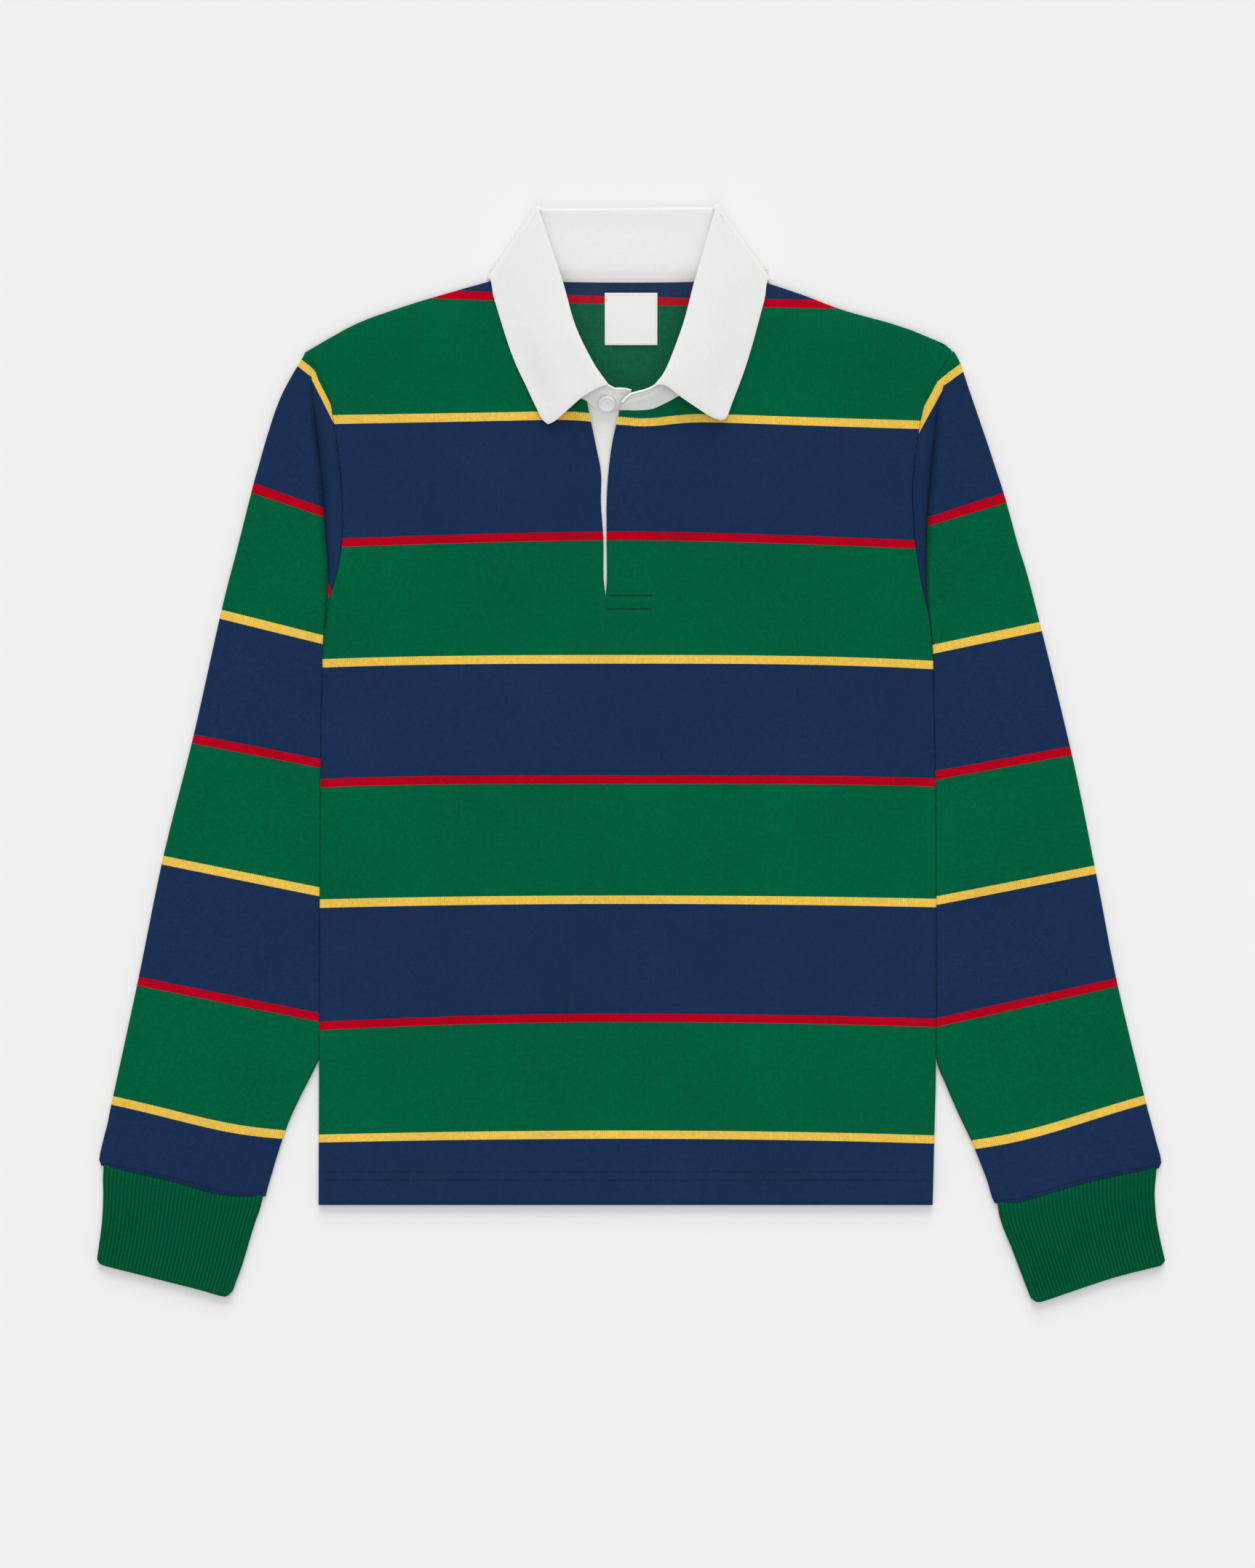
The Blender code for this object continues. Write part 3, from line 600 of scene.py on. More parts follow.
def piece_of(name, mesh, finishes):
    """An object in the scene that shows the mesh in its finishes."""
    piece = bpy.data.objects.new(name, mesh)
    bpy.context.scene.collection.objects.link(piece)
    for made in finishes:
        mesh.materials.append(made)
    return piece


def looking(faces, places, facing, halfway):
    """The quads, turned over if most look the wrong way: facing, or away from halfway if that is None."""
    corners = places[faces]
    upward = np.cross(corners[:, 2] - corners[:, 0], corners[:, 3] - corners[:, 1])[:, 2]
    wanted = np.sign(corners[..., 2].mean(axis=1) - halfway) if facing is None else facing
    return faces[:, ::-1] if (upward * wanted).sum() < 0 else faces


def cloth(name, sheets, wall, finishes, facing, **marks):
    """A cloth piece from sheets, each a grid of places in mm and a grid of cloth coordinates.

    Points of two sheets that coincide become one. The faces look up (1) or down (-1), or away from the middle
    height if facing is None, and Solidify gives the wall, half to each side. Each mark is a value a point,
    kept as an attribute for the materials.
    """
    places = np.vstack([grid.reshape(-1, 3) for grid, _ in sheets])
    knit = np.vstack([coordinates.reshape(-1, 2) for _, coordinates in sheets])
    _, kept, same = np.unique(np.round(places, 4), axis=0, return_index=True, return_inverse=True)
    halfway = (places[:, 2].min() + places[:, 2].max()) / 2
    quads = []
    first = 0
    for grid, _ in sheets:
        rows, columns = grid.shape[:2]
        quads.append(looking(grid_faces(rows, columns, first), places, facing, halfway))
        first += rows * columns
    faces = np.vstack(quads)
    mesh = mesh_of(name, placed(places[kept]), same.ravel()[faces], knit[faces.ravel()])
    for mark, values in marks.items():
        attribute = mesh.attributes.new(mark, "FLOAT", "POINT")
        attribute.data.foreach_set("value", values.reshape(-1)[kept].astype(np.float32))
    piece = piece_of(name, mesh, finishes)
    thick = piece.modifiers.new("Wall", "SOLIDIFY")
    thick.thickness = wall * MM
    thick.offset = 0.0
    thick.material_offset = len(finishes) - 1
    rounded = piece.modifiers.new("Rounded edges", "BEVEL")
    rounded.width = EDGE_ROUNDING * MM
    rounded.segments = 2
    rounded.limit_method = "ANGLE"
    rounded.angle_limit = EDGE_ANGLE
    rounded.use_clamp_overlap = True
    return piece


def settle(piece, node):
    """The piece rides on the shirt and stands for its node, whose CAD solid is hidden."""
    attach(piece, "root")
    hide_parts(node)


def surface_tree(piece):
    """A search tree over the piece's finished surface."""
    depsgraph = bpy.context.evaluated_depsgraph_get()
    mesh = piece.evaluated_get(depsgraph).to_mesh()
    mesh.calc_loop_triangles()
    places = np.empty(len(mesh.vertices) * 3, np.float32)
    mesh.vertices.foreach_get("co", places)
    triangles = np.empty(len(mesh.loop_triangles) * 3, np.int32)
    mesh.loop_triangles.foreach_get("vertices", triangles)
    return BVHTree.FromPolygons(places.reshape(-1, 3).tolist(), triangles.reshape(-1, 3).tolist())


def dropped(tree, line, above=True):
    """Places on the surface under (or over) the points of a plan line in mm, and the surface's normals."""
    way = -1.0 if above else 1.0
    places, normals = [], []
    for x, y, _ in placed(layer(np.asarray(line, float), 0.0)):
        place, normal, _, _ = tree.ray_cast(Vector((x, y, -way)), Vector((0, 0, way)))
        if place is None:
            continue
        places.append(place)
        normals.append(normal)
    return np.array(places), np.array(normals)


# ---- Node groups -----------------------------------------------------------------------------------------
class Nodes:
    """Adds nodes to one node tree, with short calls whose values are sockets, numbers or colours."""

    def __init__(self, tree):
        self.tree = tree

    def add(self, kind, **settings):
        node = self.tree.nodes.new(kind)
        for name, value in settings.items():
            setattr(node, name, value)
        return node

    def feed(self, socket, value):
        if isinstance(value, bpy.types.NodeSocket):
            self.tree.links.new(value, socket)
        elif socket.type == "RGBA":
            socket.default_value = (*value, 1)
        else:
            socket.default_value = value

    def math(self, operation, *values):
        node = self.add("ShaderNodeMath", operation=operation)
        for socket, value in zip(node.inputs, values):
            self.feed(socket, value)
        return node.outputs[0]

    def plus(self, total, *others):
        for other in others:
            total = self.math("ADD", total, other)
        return total

    def times(self, product, *others):
        for other in others:
            product = self.math("MULTIPLY", product, other)
        return product

    def minus(self, value, other):
        return self.math("SUBTRACT", value, other)

    def wave(self, turns):
        """A sine that comes round once a turn."""
        return self.math("SINE", self.times(turns, 2 * math.pi))

    def off_middle(self, count):
        """How far a count is from halfway between two whole numbers, 0 to a half."""
        return self.math("ABSOLUTE", self.minus(self.math("FRACT", count), 0.5))

    def mix(self, share, low, high):
        node = self.add("ShaderNodeMix", data_type="RGBA")
        for place, value in ((0, share), (6, low), (7, high)):
            self.feed(node.inputs[place], value)
        return node.outputs[2]

    def scaled(self, colour, gain):
        """A colour times a varying gain."""
        node = self.add("ShaderNodeVectorMath", operation="SCALE")
        self.feed(node.inputs[0], colour)
        self.feed(node.inputs["Scale"], gain)
        return node.outputs[0]

    def noise(self, vector, scale, detail=2.0):
        node = self.add("ShaderNodeTexNoise")
        for word, value in (("Vector", vector), ("Scale", scale), ("Detail", detail)):
            self.feed(node.inputs[word], value)
        return node.outputs["Fac"]

    def bands(self, share, *stops):
        """Flat colours, each from its own share to the next one's."""
        node = self.add("ShaderNodeValToRGB")
        ramp = node.color_ramp
        ramp.interpolation = "CONSTANT"
        while len(ramp.elements) < len(stops):
            ramp.elements.new(1.0)
        for element, (position, colour) in zip(ramp.elements, stops):
            element.position = position
            element.color = (*colour, 1)
        self.feed(node.inputs[0], share)
        return node.outputs[0]

    def split(self, vector):
        node = self.add("ShaderNodeSeparateXYZ")
        self.feed(node.inputs[0], vector)
        return node.outputs

    def place(self):
        return self.add("ShaderNodeTexCoord").outputs["Object"]

    def cloth_place(self):
        return self.add("ShaderNodeUVMap", uv_map="cloth").outputs[0]

    def attribute(self, name):
        return self.add("ShaderNodeAttribute", attribute_name=name).outputs["Fac"]

    def group(self, name, **values):
        node = self.add("ShaderNodeGroup", node_tree=GROUPS[name])
        for word, value in values.items():
            self.feed(node.inputs[word], value)
        return node.outputs


def new_group(name, inputs, outputs):
    """A node group, its nodes and its two ends; Place is a vector and every other socket a number."""
    tree = bpy.data.node_groups.new(name, "ShaderNodeTree")
    for way, words in (("INPUT", inputs), ("OUTPUT", outputs)):
        for word in words:
            kind = "NodeSocketVector" if word == "Place" else "NodeSocketFloat"
            tree.interface.new_socket(word, in_out=way, socket_type=kind)
    nodes = Nodes(tree)
    return tree, nodes, nodes.add("NodeGroupInput").outputs, nodes.add("NodeGroupOutput").inputs


def jersey_group():
    """Plain knit: V-shaped stitches in columns, and the mask of the valleys between the columns, where the
    jersey's colour takes painted shade.

    Columns are a cosine of the distance across; each stitch is a cosine of the distance along, bent into a V
    by how far the place is from the column's middle. The reverse shows staggered purl arcs instead.
    """
    tree, n, given, result = new_group(
        "Jersey knit", ("Across", "Along", "Column", "Row", "Strain", "Reverse"), ("Height", "Valley", "Vee")
    )
    rows = n.math("DIVIDE", given["Along"], given["Row"])
    within = n.off_middle(n.math("DIVIDE", given["Across"], given["Column"]))
    vee = n.times(within, 2.0)
    ridge = n.minus(1.0, n.math("POWER", n.math("SINE", n.times(within, math.pi)), 2.0))
    stitch = n.plus(n.times(n.wave(n.plus(rows, vee)), 0.5), 0.5)
    face = n.plus(n.times(ridge, n.plus(0.6, given["Strain"])), n.times(stitch, 0.4))
    purl = n.plus(n.times(n.wave(n.plus(rows, n.times(vee, 0.35))), 0.5), 0.5)
    bumps = n.times(purl, n.plus(0.5, n.times(ridge, 0.5)))
    height = n.plus(n.times(face, n.minus(1.0, given["Reverse"])), n.times(bumps, given["Reverse"]))
    n.feed(result["Height"], height)
    n.feed(result["Valley"], n.minus(1.0, height))
    n.feed(result["Vee"], vee)
    return tree


def weave_group():
    """Plain weave with slubs: threads and picks as crossed waves, and long thin noise along both."""
    tree, n, given, result = new_group("Slubby weave", ("Place", "Thread"), ("Height", "Slub"))
    across, along, _ = n.split(given["Place"])
    threads, picks = (n.wave(n.math("DIVIDE", part, given["Thread"])) for part in (across, along))
    slubs = []
    for stretch in ((SLUB_ACROSS, SLUB_ALONG, 1.0), (SLUB_ALONG, SLUB_ACROSS, 1.0)):
        long = n.add("ShaderNodeVectorMath", operation="MULTIPLY")
        n.feed(long.inputs[0], given["Place"])
        n.feed(long.inputs[1], stretch)
        slubs.append(n.noise(long.outputs[0], 1.0, 3.0))
    slub = n.times(n.plus(*slubs), 0.5)
    n.feed(result["Height"], n.plus(n.times(threads, picks, 0.25), 0.5, n.times(slub, 1.5)))
    n.feed(result["Slub"], slub)
    return tree


def mottle_group():
    """Uneven yarn: fine and broad noise as a gain round 1, and fine fuzz as a height."""
    tree, n, given, result = new_group("Yarn mottle", ("Place", "Amount"), ("Gain", "Fuzz"))
    fine = n.noise(given["Place"], 650.0, 3.0)
    broad = n.noise(given["Place"], 12.0)
    both = n.plus(n.times(n.minus(fine, 0.5), 1.6), n.minus(broad, 0.5))
    n.feed(result["Gain"], n.plus(1.0, n.times(both, given["Amount"])))
    n.feed(result["Fuzz"], n.noise(given["Place"], 2600.0))
    return tree


def new_material(name, roughness, sheen):
    """A material, its nodes and its Principled shader."""
    made = bpy.data.materials.new(name)
    made.use_nodes = True
    shader = made.node_tree.nodes["Principled BSDF"]
    shader.inputs["Roughness"].default_value = roughness
    shader.inputs["Sheen Weight"].default_value = sheen
    shader.inputs["Sheen Roughness"].default_value = 0.5
    shader.inputs["Specular IOR Level"].default_value = 0.03
    return made, Nodes(made.node_tree), shader


def dress(n, shader, colour, height, relief):
    """Gives the shader its colour, and bumps from a height that is worth this relief in metres."""
    bump = n.add("ShaderNodeBump")
    bump.inputs["Distance"].default_value = relief
    n.feed(bump.inputs["Height"], height)
    n.feed(shader.inputs["Normal"], bump.outputs[0])
    n.feed(shader.inputs["Base Color"], colour)


def jersey_material(name, colours, knit, reverse):
    """Striped jersey: the stripe count picks the band, and each stitch's V notches the stripes' edges.

    Its colour also carries painted shade, in the valleys between the columns and in the sleeves' folds.
    """
    made, n, shader = new_material(name, 0.9, 0.01)
    across, count, _ = n.split(n.cloth_place())
    stitches = n.group(
        "knit", Across=across, Along=n.times(count, PITCH * MM), Column=knit.column * MM, Row=knit.row * MM,
        Strain=n.attribute("strain"), Reverse=float(reverse),
    )
    notch = n.times(n.minus(stitches["Vee"], 0.5), knit.notch / PITCH)
    half = STRIPE_WIDTH / PITCH / 4
    bands = n.bands(
        n.math("FRACT", n.times(n.plus(count, notch), 0.5)),
        (0.0, colours.yellow), (half, colours.green), (0.5 - half, colours.red), (0.5 + half, colours.navy),
        (1 - half, colours.yellow),
    )
    if reverse:
        bands = n.mix(REVERSE_HAZE, bands, REVERSE_TINT)
    mottle = n.group("mottle", Place=n.place(), Amount=knit.mottle)
    # Painted shade: the valleys between the columns are darkened in patches, and the whole is lifted to keep
    # its mean, so the columns' crests carry painted light
    patchy = n.times(n.noise(n.place(), 260.0), 2 * knit.contrast)
    valleys = n.minus(1.0, n.times(stitches["Valley"], patchy))
    # Painted shade: the sleeves' shade attribute darkens the colour in and beside the pleat's fold
    folds = n.minus(1.0, n.times(n.attribute("shade"), FOLD_SHADE))
    gain = n.times(valleys, mottle["Gain"], 1.0 + knit.contrast / 2, folds)
    height = n.plus(stitches["Height"], n.times(mottle["Fuzz"], 0.5))
    dress(n, shader, n.scaled(bands, gain), height, knit.relief * MM)
    return made


def rib_material(colours, knit):
    """Rib knit: painted shade in the valleys between the modelled ribs and painted light on their crests,
    and each rib shows its own stitches.
    """
    made, n, shader = new_material("Green rib", 0.9, 0.01)
    ribs, down, _ = n.split(n.cloth_place())
    stitches = n.group(
        "knit", Across=ribs, Along=down, Column=0.5, Row=knit.row * MM, Strain=0.0, Reverse=0.0
    )
    # Painted shade in the rib valleys and painted light on their crests, worked into the cuff's colour
    valley = n.math("POWER", n.times(n.off_middle(ribs), 2.0), 1.6)
    mottle = n.group("mottle", Place=n.place(), Amount=knit.mottle)
    gain = n.times(n.minus(RIB_LIGHT, n.times(valley, RIB_SHADE)), mottle["Gain"])
    dress(n, shader, n.scaled(colours.rib_green, gain), stitches["Height"], knit.relief * MM * 0.6)
    return made


def twill_material(colours, name, thread, contrast, relief):
    """White woven cloth: threads and slubs in relief, and a faint warmth where the slubs are."""
    made, n, shader = new_material(name, 0.85, 0.1)
    weave = n.group("weave", Place=n.cloth_place(), Thread=thread)
    mottle = n.group("mottle", Place=n.place(), Amount=0.03)
    uneven = n.plus(1.0, n.times(n.minus(weave["Slub"], 0.5), contrast))
    warm = n.mix(weave["Slub"], colours.white, colours.white_shade)
    height = n.plus(weave["Height"], n.times(mottle["Fuzz"], 0.6))
    dress(n, shader, n.scaled(warm, n.times(uneven, mottle["Gain"])), height, relief)
    return made


def rubber_material(colours):
    """Moulded white rubber: soft gloss, faint dust in the dish and fine unevenness."""
    made, n, shader = new_material("White rubber", 0.4, 0.0)
    dust = n.noise(n.place(), 350.0, 3.0)
    colour = n.mix(n.times(dust, 0.35), colours.button, colours.white_shade)
    n.feed(shader.inputs["Roughness"], n.plus(0.32, n.times(dust, 0.2)))
    dress(n, shader, colour, n.noise(n.place(), 1500.0), RUBBER_RELIEF)
    return made


def thread_material(name, colour):
    """Sewing thread: two plies that wind round each other, as a sine along it; the sine also paints
    shade in the grooves and light on the crests of its colour.
    """
    made, n, shader = new_material(name, 0.7, 0.1)
    x, y, _ = n.split(n.place())
    ply = n.wave(n.times(n.plus(x, y), 1 / PLY_LENGTH))
    # Painted shade and light: the ply's sine also darkens and lightens the thread's colour
    dress(n, shader, n.scaled(colour, n.plus(0.95, n.times(ply, 0.08))), ply, PLY_RELIEF)
    return made


GROUPS = {}
FINISHES = {}


def make_finishes(scene):
    """Fills GROUPS and FINISHES; a cloth's second material is its reverse."""
    colours, knit = scene.shirt_colours, scene.shirt_knit
    GROUPS.update(knit=jersey_group(), weave=weave_group(), mottle=mottle_group())
    FINISHES.update(
        jersey=(
            jersey_material("Striped jersey", colours, knit, reverse=False),
            jersey_material("Striped jersey reverse", colours, knit, reverse=True),
        ),
        rib=(rib_material(colours, knit),),
        twill=(twill_material(colours, "White twill", 0.0008, 0.2, 0.0001),),
        satin=(twill_material(colours, "Label satin", 0.0005, 0.12, 0.00004),),
        rubber=(rubber_material(colours),),
        navy_thread=(thread_material("Navy thread", colours.navy_thread),),
        green_thread=(thread_material("Green thread", colours.green_thread),),
        white_thread=(thread_material("White thread", colours.white),),
    )


def finish(name):
    """The materials of a finish; all finishes are made when the first piece asks for one."""
    if not FINISHES:
        make_finishes(bpy.context.scene)
    return FINISHES[name]


# ---- Stripe and knit coordinates -------------------------------------------------------------------------
def stripe_count(up, heights, first=0):
    """The stripe count at a height: straight lines between the stripes' heights, carried on past both ends.

    heights has one row a stripe, each of them the same shape as up.
    """
    heights = np.broadcast_to(heights, (len(heights),) + up.shape)
    below = np.clip((up[None] > heights).sum(0) - 1, 0, len(heights) - 2)
    low = np.take_along_axis(heights, below[None], 0)[0]
    high = np.take_along_axis(heights, below[None] + 1, 0)[0]
    return first + below + (up - low) / (high - low)


def body_knit(plan, pulled):
    """Cloth coordinates of the body: metres across, and the stripe count.

    Each stripe drops from the centre front to the side as a power of the distance out. A pulled front also
    has its stripes drawn up, and its columns drawn aside, in a bell round the slit's head.
    """
    x, up = plan[..., 0], plan[..., 1]
    outward = np.clip(np.abs(x) / BODY_HALF, 0, 1.2)
    heights = np.stack([
        middle - np.where(x < 0, drop_right, drop_left) * outward**lateness
        for middle, drop_right, drop_left, lateness in zip(*BODY_STRIPES.values())
    ])
    if pulled:
        pull, lean = STRIPE_PULL, COLUMN_LEAN
        up = up + pull["drop"] * bell(x - pull["x"], pull["wide"]) * bell(up - pull["up"], pull["high"])
        x = x + lean["across"] * bell(x - lean["x"], lean["wide"]) * smooth(plan[..., 1], *lean["up"])
    return np.stack([x * MM, stripe_count(up, heights)], axis=-1)


# ---- Body ------------------------------------------------------------------------------------------------
def body_side(side):
    """The panel's edge from hem to shoulder tip: the side seam, then the armhole seam."""
    return np.vstack([side_seam(side), armhole(side)[::-1][1:]])


def fold_columns(grid, first=True, last=True):
    """The same grid, with more columns where its first and last ones turn over."""
    return np.stack([with_folds(row, BODY_ROUND, first, last) for row in grid])


def nearest_edge(plan, *edges):
    """How far each point is from the nearest edge, on either side; each edge comes with its stride."""
    lines = [edge(side)[::stride] for edge, stride in edges for side in SIDES]
    return np.min([distance_to(plan, line) for line in lines], axis=0)


def panel_height(plan, upper):
    """Middle surface of the front (upper) or back layer: flat, and rolled to the middle at folded edges."""
    rise = fold_rise(nearest_edge(plan, (side_seam, 10), (shoulder, 4)), BODY_ROUND)
    return BODY_MIDDLE + rise + front_lift(plan) if upper else BODY_MIDDLE - rise


def away_from_edges(plan):
    """0 at the body's seams and hem, rising smoothly to 1 inside."""
    nearest = np.minimum(nearest_edge(plan, (body_side, 8), (shoulder, 4)), plan[..., 1])
    return smooth(nearest, 0, 28)


def armhole_dip(plan):
    """The layer dips into the armhole seams, as a bell."""
    return -0.45 * bell(nearest_edge(plan, (armhole, 4)), 1.3)


def facing_rise(plan):
    """The front is thicker over the facing behind the slit's left edge."""
    x, up = plan[..., 0], plan[..., 1]
    return 0.45 * smooth(x, -18, -14) * (1 - smooth(x, 17, 20)) * smooth(up, 438, 441)


def sewn_relief(plan):
    """The doubled hem is thicker, and the cloth dips in bells along the rows of stitches."""
    x, up = plan[..., 0], plan[..., 1]
    doubled = HEM_RISE * (1 - smooth(up, HEM_ROWS[1], HEM_ROWS[1] + 3))
    rows = sum(bell(up - row, 0.9) for row in HEM_ROWS)
    inside = smooth(x, -16, -13) * (1 - smooth(x, 18, 20))
    rows = rows + 2.6 * inside * sum(bell(up - row, 1.0) for row, *_ in FACING_BARS)
    return doubled - SEAM_GROOVE * rows


def front_relief(plan):
    """The front's soft unevenness: broad waves, creases fanning from the slit's head and the facing."""
    relief = waves(plan, 120, 0.55, 11) + waves(plan, 45, 0.16, 12)
    relief = relief + sum(trough(plan, *crease) for crease in FRONT_CREASES)
    return (relief + 0.35) * away_from_edges(plan) + armhole_dip(plan) + facing_rise(plan) + sewn_relief(plan)


def back_relief(plan):
    """Only inwards, so that the back keeps its flat rest: broad waves and soft creases."""
    relief = waves(plan, 120, 0.35, 21) - sum(trough(plan, *crease) for crease in BACK_CREASES)
    return np.clip(relief, 0, None) * away_from_edges(plan) - armhole_dip(plan)


def shoulder_strain(plan):
    """Where the knit is pulled open so that its columns show: on the shoulders and at the slit's head."""
    x, up = plan[..., 0], plan[..., 1]
    head = bell(x - 10, 24) * bell(up - 560, 22) * (x > SLIT_FOOT[0])
    return 0.7 * bell(nearest_edge(plan, (shoulder, 4)), 22) + head


def back_grid():
    """The back in plan: a patch between the hem, both sides, and the shoulders with the neck."""
    neck = back_neckline()
    head = np.vstack([shoulder("right"), neck[1:-1], shoulder("left")[::-1]])
    foot = between(side_seam("right")[0], side_seam("left")[0], even(len(head) - 1))
    return fold_columns(coons(foot, head, body_side("right"), body_side("left")))


def front_half(side):
    """Half of the front, from its side to the slit, or to the centre below the slit's foot."""
    edge = body_side(side)
    head = np.vstack([shoulder(side), neckline(side)[1:]])
    foot_point = np.array([SLIT_FOOT[0], 0.0])
    below = np.sum(edge[:, 1] < SLIT_FOOT[1])
    centre = between(foot_point, np.array(SLIT_FOOT), even(below))
    slit = curve(SLIT_EDGE[side], even(len(edge) - below - 1))
    foot = between(edge[0], foot_point, even(len(head) - 1))
    return fold_columns(coons(foot, head, edge, np.vstack([centre, slit[1:]])), last=False)


def make_back():
    """The back panel, its face down."""
    plan = back_grid()
    grid = layer(plan, panel_height(plan, upper=False) + back_relief(plan))
    sheets = [(grid, body_knit(plan, pulled=False))]
    piece = cloth("back", sheets, BODY_WALL, finish("jersey"), facing=-1, strain=shoulder_strain(plan))
    settle(piece, "back_panel")


def make_front():
    """The front panel, its face up: two halves that are one below the slit's foot."""
    halves = [front_half(side) for side in SIDES]
    sheets = [
        (layer(plan, panel_height(plan, upper=True) + front_relief(plan)), body_knit(plan, pulled=True))
        for plan in halves
    ]
    strain = np.concatenate([shoulder_strain(plan).ravel() for plan in halves])
    piece = cloth("front", sheets, BODY_WALL, finish("jersey"), facing=1, strain=strain)
    settle(piece, "front_panel")


# ---- Sleeves and cuffs -----------------------------------------------------------------------------------
def sleeve_inner(side):
    """The fold that lies beside the body, then leaves it below the parting height."""
    seam = curve(signed(side, SIDE_SEAM[side]), even(40))[::-1]
    seam[:, 0] += SIDES[side] * SLEEVE_CLEARANCE
    beside = seam[(seam[:, 1] > SLEEVE_PARTING) & (seam[:, 1] < seam[0, 1] - 2)]
    return np.vstack([beside, signed(side, SLEEVE_INNER_END[side])])


def tube(name, top, bottom, knit, wall, finishes, **marks):
    """A flattened tube: its upper and lower sheets meet along both folds."""
    marks = {mark: np.concatenate([values.ravel(), np.zeros(values.size)]) for mark, values in marks.items()}
    return cloth(name, [(top, knit), (bottom[:, ::-1], knit[:, ::-1])], wall, finishes, facing=None, **marks)


def tube_rise(across, radius):
    """Height of a flattened tube's upper sheet above its middle: rolled to the middle at both folds."""
    rise = fold_rise(np.minimum(across, across[:, -1:] - across), radius)
    rise[:, [0, -1]] = 0.0
    return rise


def rows_left(grid):
    """How many rows come after each row."""
    return np.arange(len(grid))[::-1, None]


def sleeve_plan(side):
    """Rows across the sleeve in plan, from the armhole seam through the pleat to the cuff seam.

    The first rows go from the seam to the pleat's fold line and a little way out from it, the others are a
    patch between there, the cuff seam and both folds, and every row's ends turn over.
    """
    sign = SIDES[side]
    seam = armhole(side)
    across = lengths(seam)
    rise = fold_rise(np.minimum(across, across[-1] - across), BODY_ROUND)
    seam[:, 0] += sign * (SEAM_GAP + BODY_WALL * 0.25 * (1 - rise / BODY_ROUND))
    pleat = with_folds(curve(signed(side, PLEAT[side]), even(ARMHOLE_STEPS)), BODY_ROUND)
    outer_shares = np.linspace(0.008, 1.0, SLEEVE_STEPS)
    outer = curve(signed(side, SLEEVE_OUTER[side]), outer_shares)
    inner = curve(sleeve_inner(side), np.interp(outer_shares, *SLEEVE_ACROSS))
    narrow = np.sin(np.pi * across / across[-1])[:, None] ** 0.4
    pleat_rows = [
        (1 - share) * seam + share * pleat + np.array([sign * out, 0.0]) * narrow
        for share, out, _ in PLEAT_ROWS
    ]
    cuff_row = with_folds(curve(signed(side, CUFF_SEAM[side]), even(ARMHOLE_STEPS)), BODY_ROUND)
    cuff_row = cuff_row + (0, SEAM_GAP)
    crest = pleat_rows[-1]
    below = coons(crest, cuff_row, np.vstack([crest[:1], outer]), np.vstack([crest[-1:], inner]))
    turn = len(FOLD_ANGLES) + 1
    rows = [with_folds(row[[0, *range(turn, len(row) - turn), -1]], BODY_ROUND) for row in below[1:-1]]
    return np.stack(pleat_rows + rows + [cuff_row])


def slanted(stripes, outward):
    """Each stripe's height at a distance out: a straight line through its two places."""
    return np.stack([y0 + (y1 - y0) * (outward - x0) / (x1 - x0) for x0, y0, x1, y1 in stripes])


def hang(stripes, outward):
    """How far the lowest stripe sags below its line: a skewed hump between its two places."""
    x0, _, x1, _ = stripes[0]
    share = np.clip((outward - x0) / (x1 - x0), 0, 1)
    return LOWEST_SAG * np.sin(np.pi * share**1.6)


def sleeve_knit(side, plan):
    """Cloth coordinates of a sleeve's two sheets: metres along its stripes, and the stripe count."""
    outward, up = plan[..., 0] * SIDES[side], plan[..., 1]
    own = np.stack([outward, up], axis=-1)
    heights = slanted(SLEEVE_STRIPES[side], outward)
    heights[0] -= hang(SLEEVE_STRIPES[side], outward)
    count = stripe_count(up, heights)
    across = own @ unit(np.array(SLEEVE_GRAIN))
    inside = slice(0, PLEAT_INSIDE)
    pleated = stripe_count(up[inside], slanted(PLEAT_STRIPES[side], outward[inside]), PLEAT_FIRST)
    above = smooth(up[inside] - PLEAT_STRIPES[side][-1][1], -4, 4)
    count[inside] = pleated + (count[inside] - pleated) * above
    across[inside] = own[inside] @ unit(np.array(PLEAT_GRAIN))
    return np.stack([across * MM, count], axis=-1)


def sleeve_relief(side, plan):
    """A sleeve's soft unevenness: waves, and creases that run from the underarm and gather over the cuff."""
    relief = waves(plan, 90, 0.5, 31) + waves(plan, 38, 0.15, 32)
    for start, end, width, depth in SLEEVE_CREASES:
        relief = relief + trough(plan, signed(side, start), signed(side, end), width, depth)
    return relief


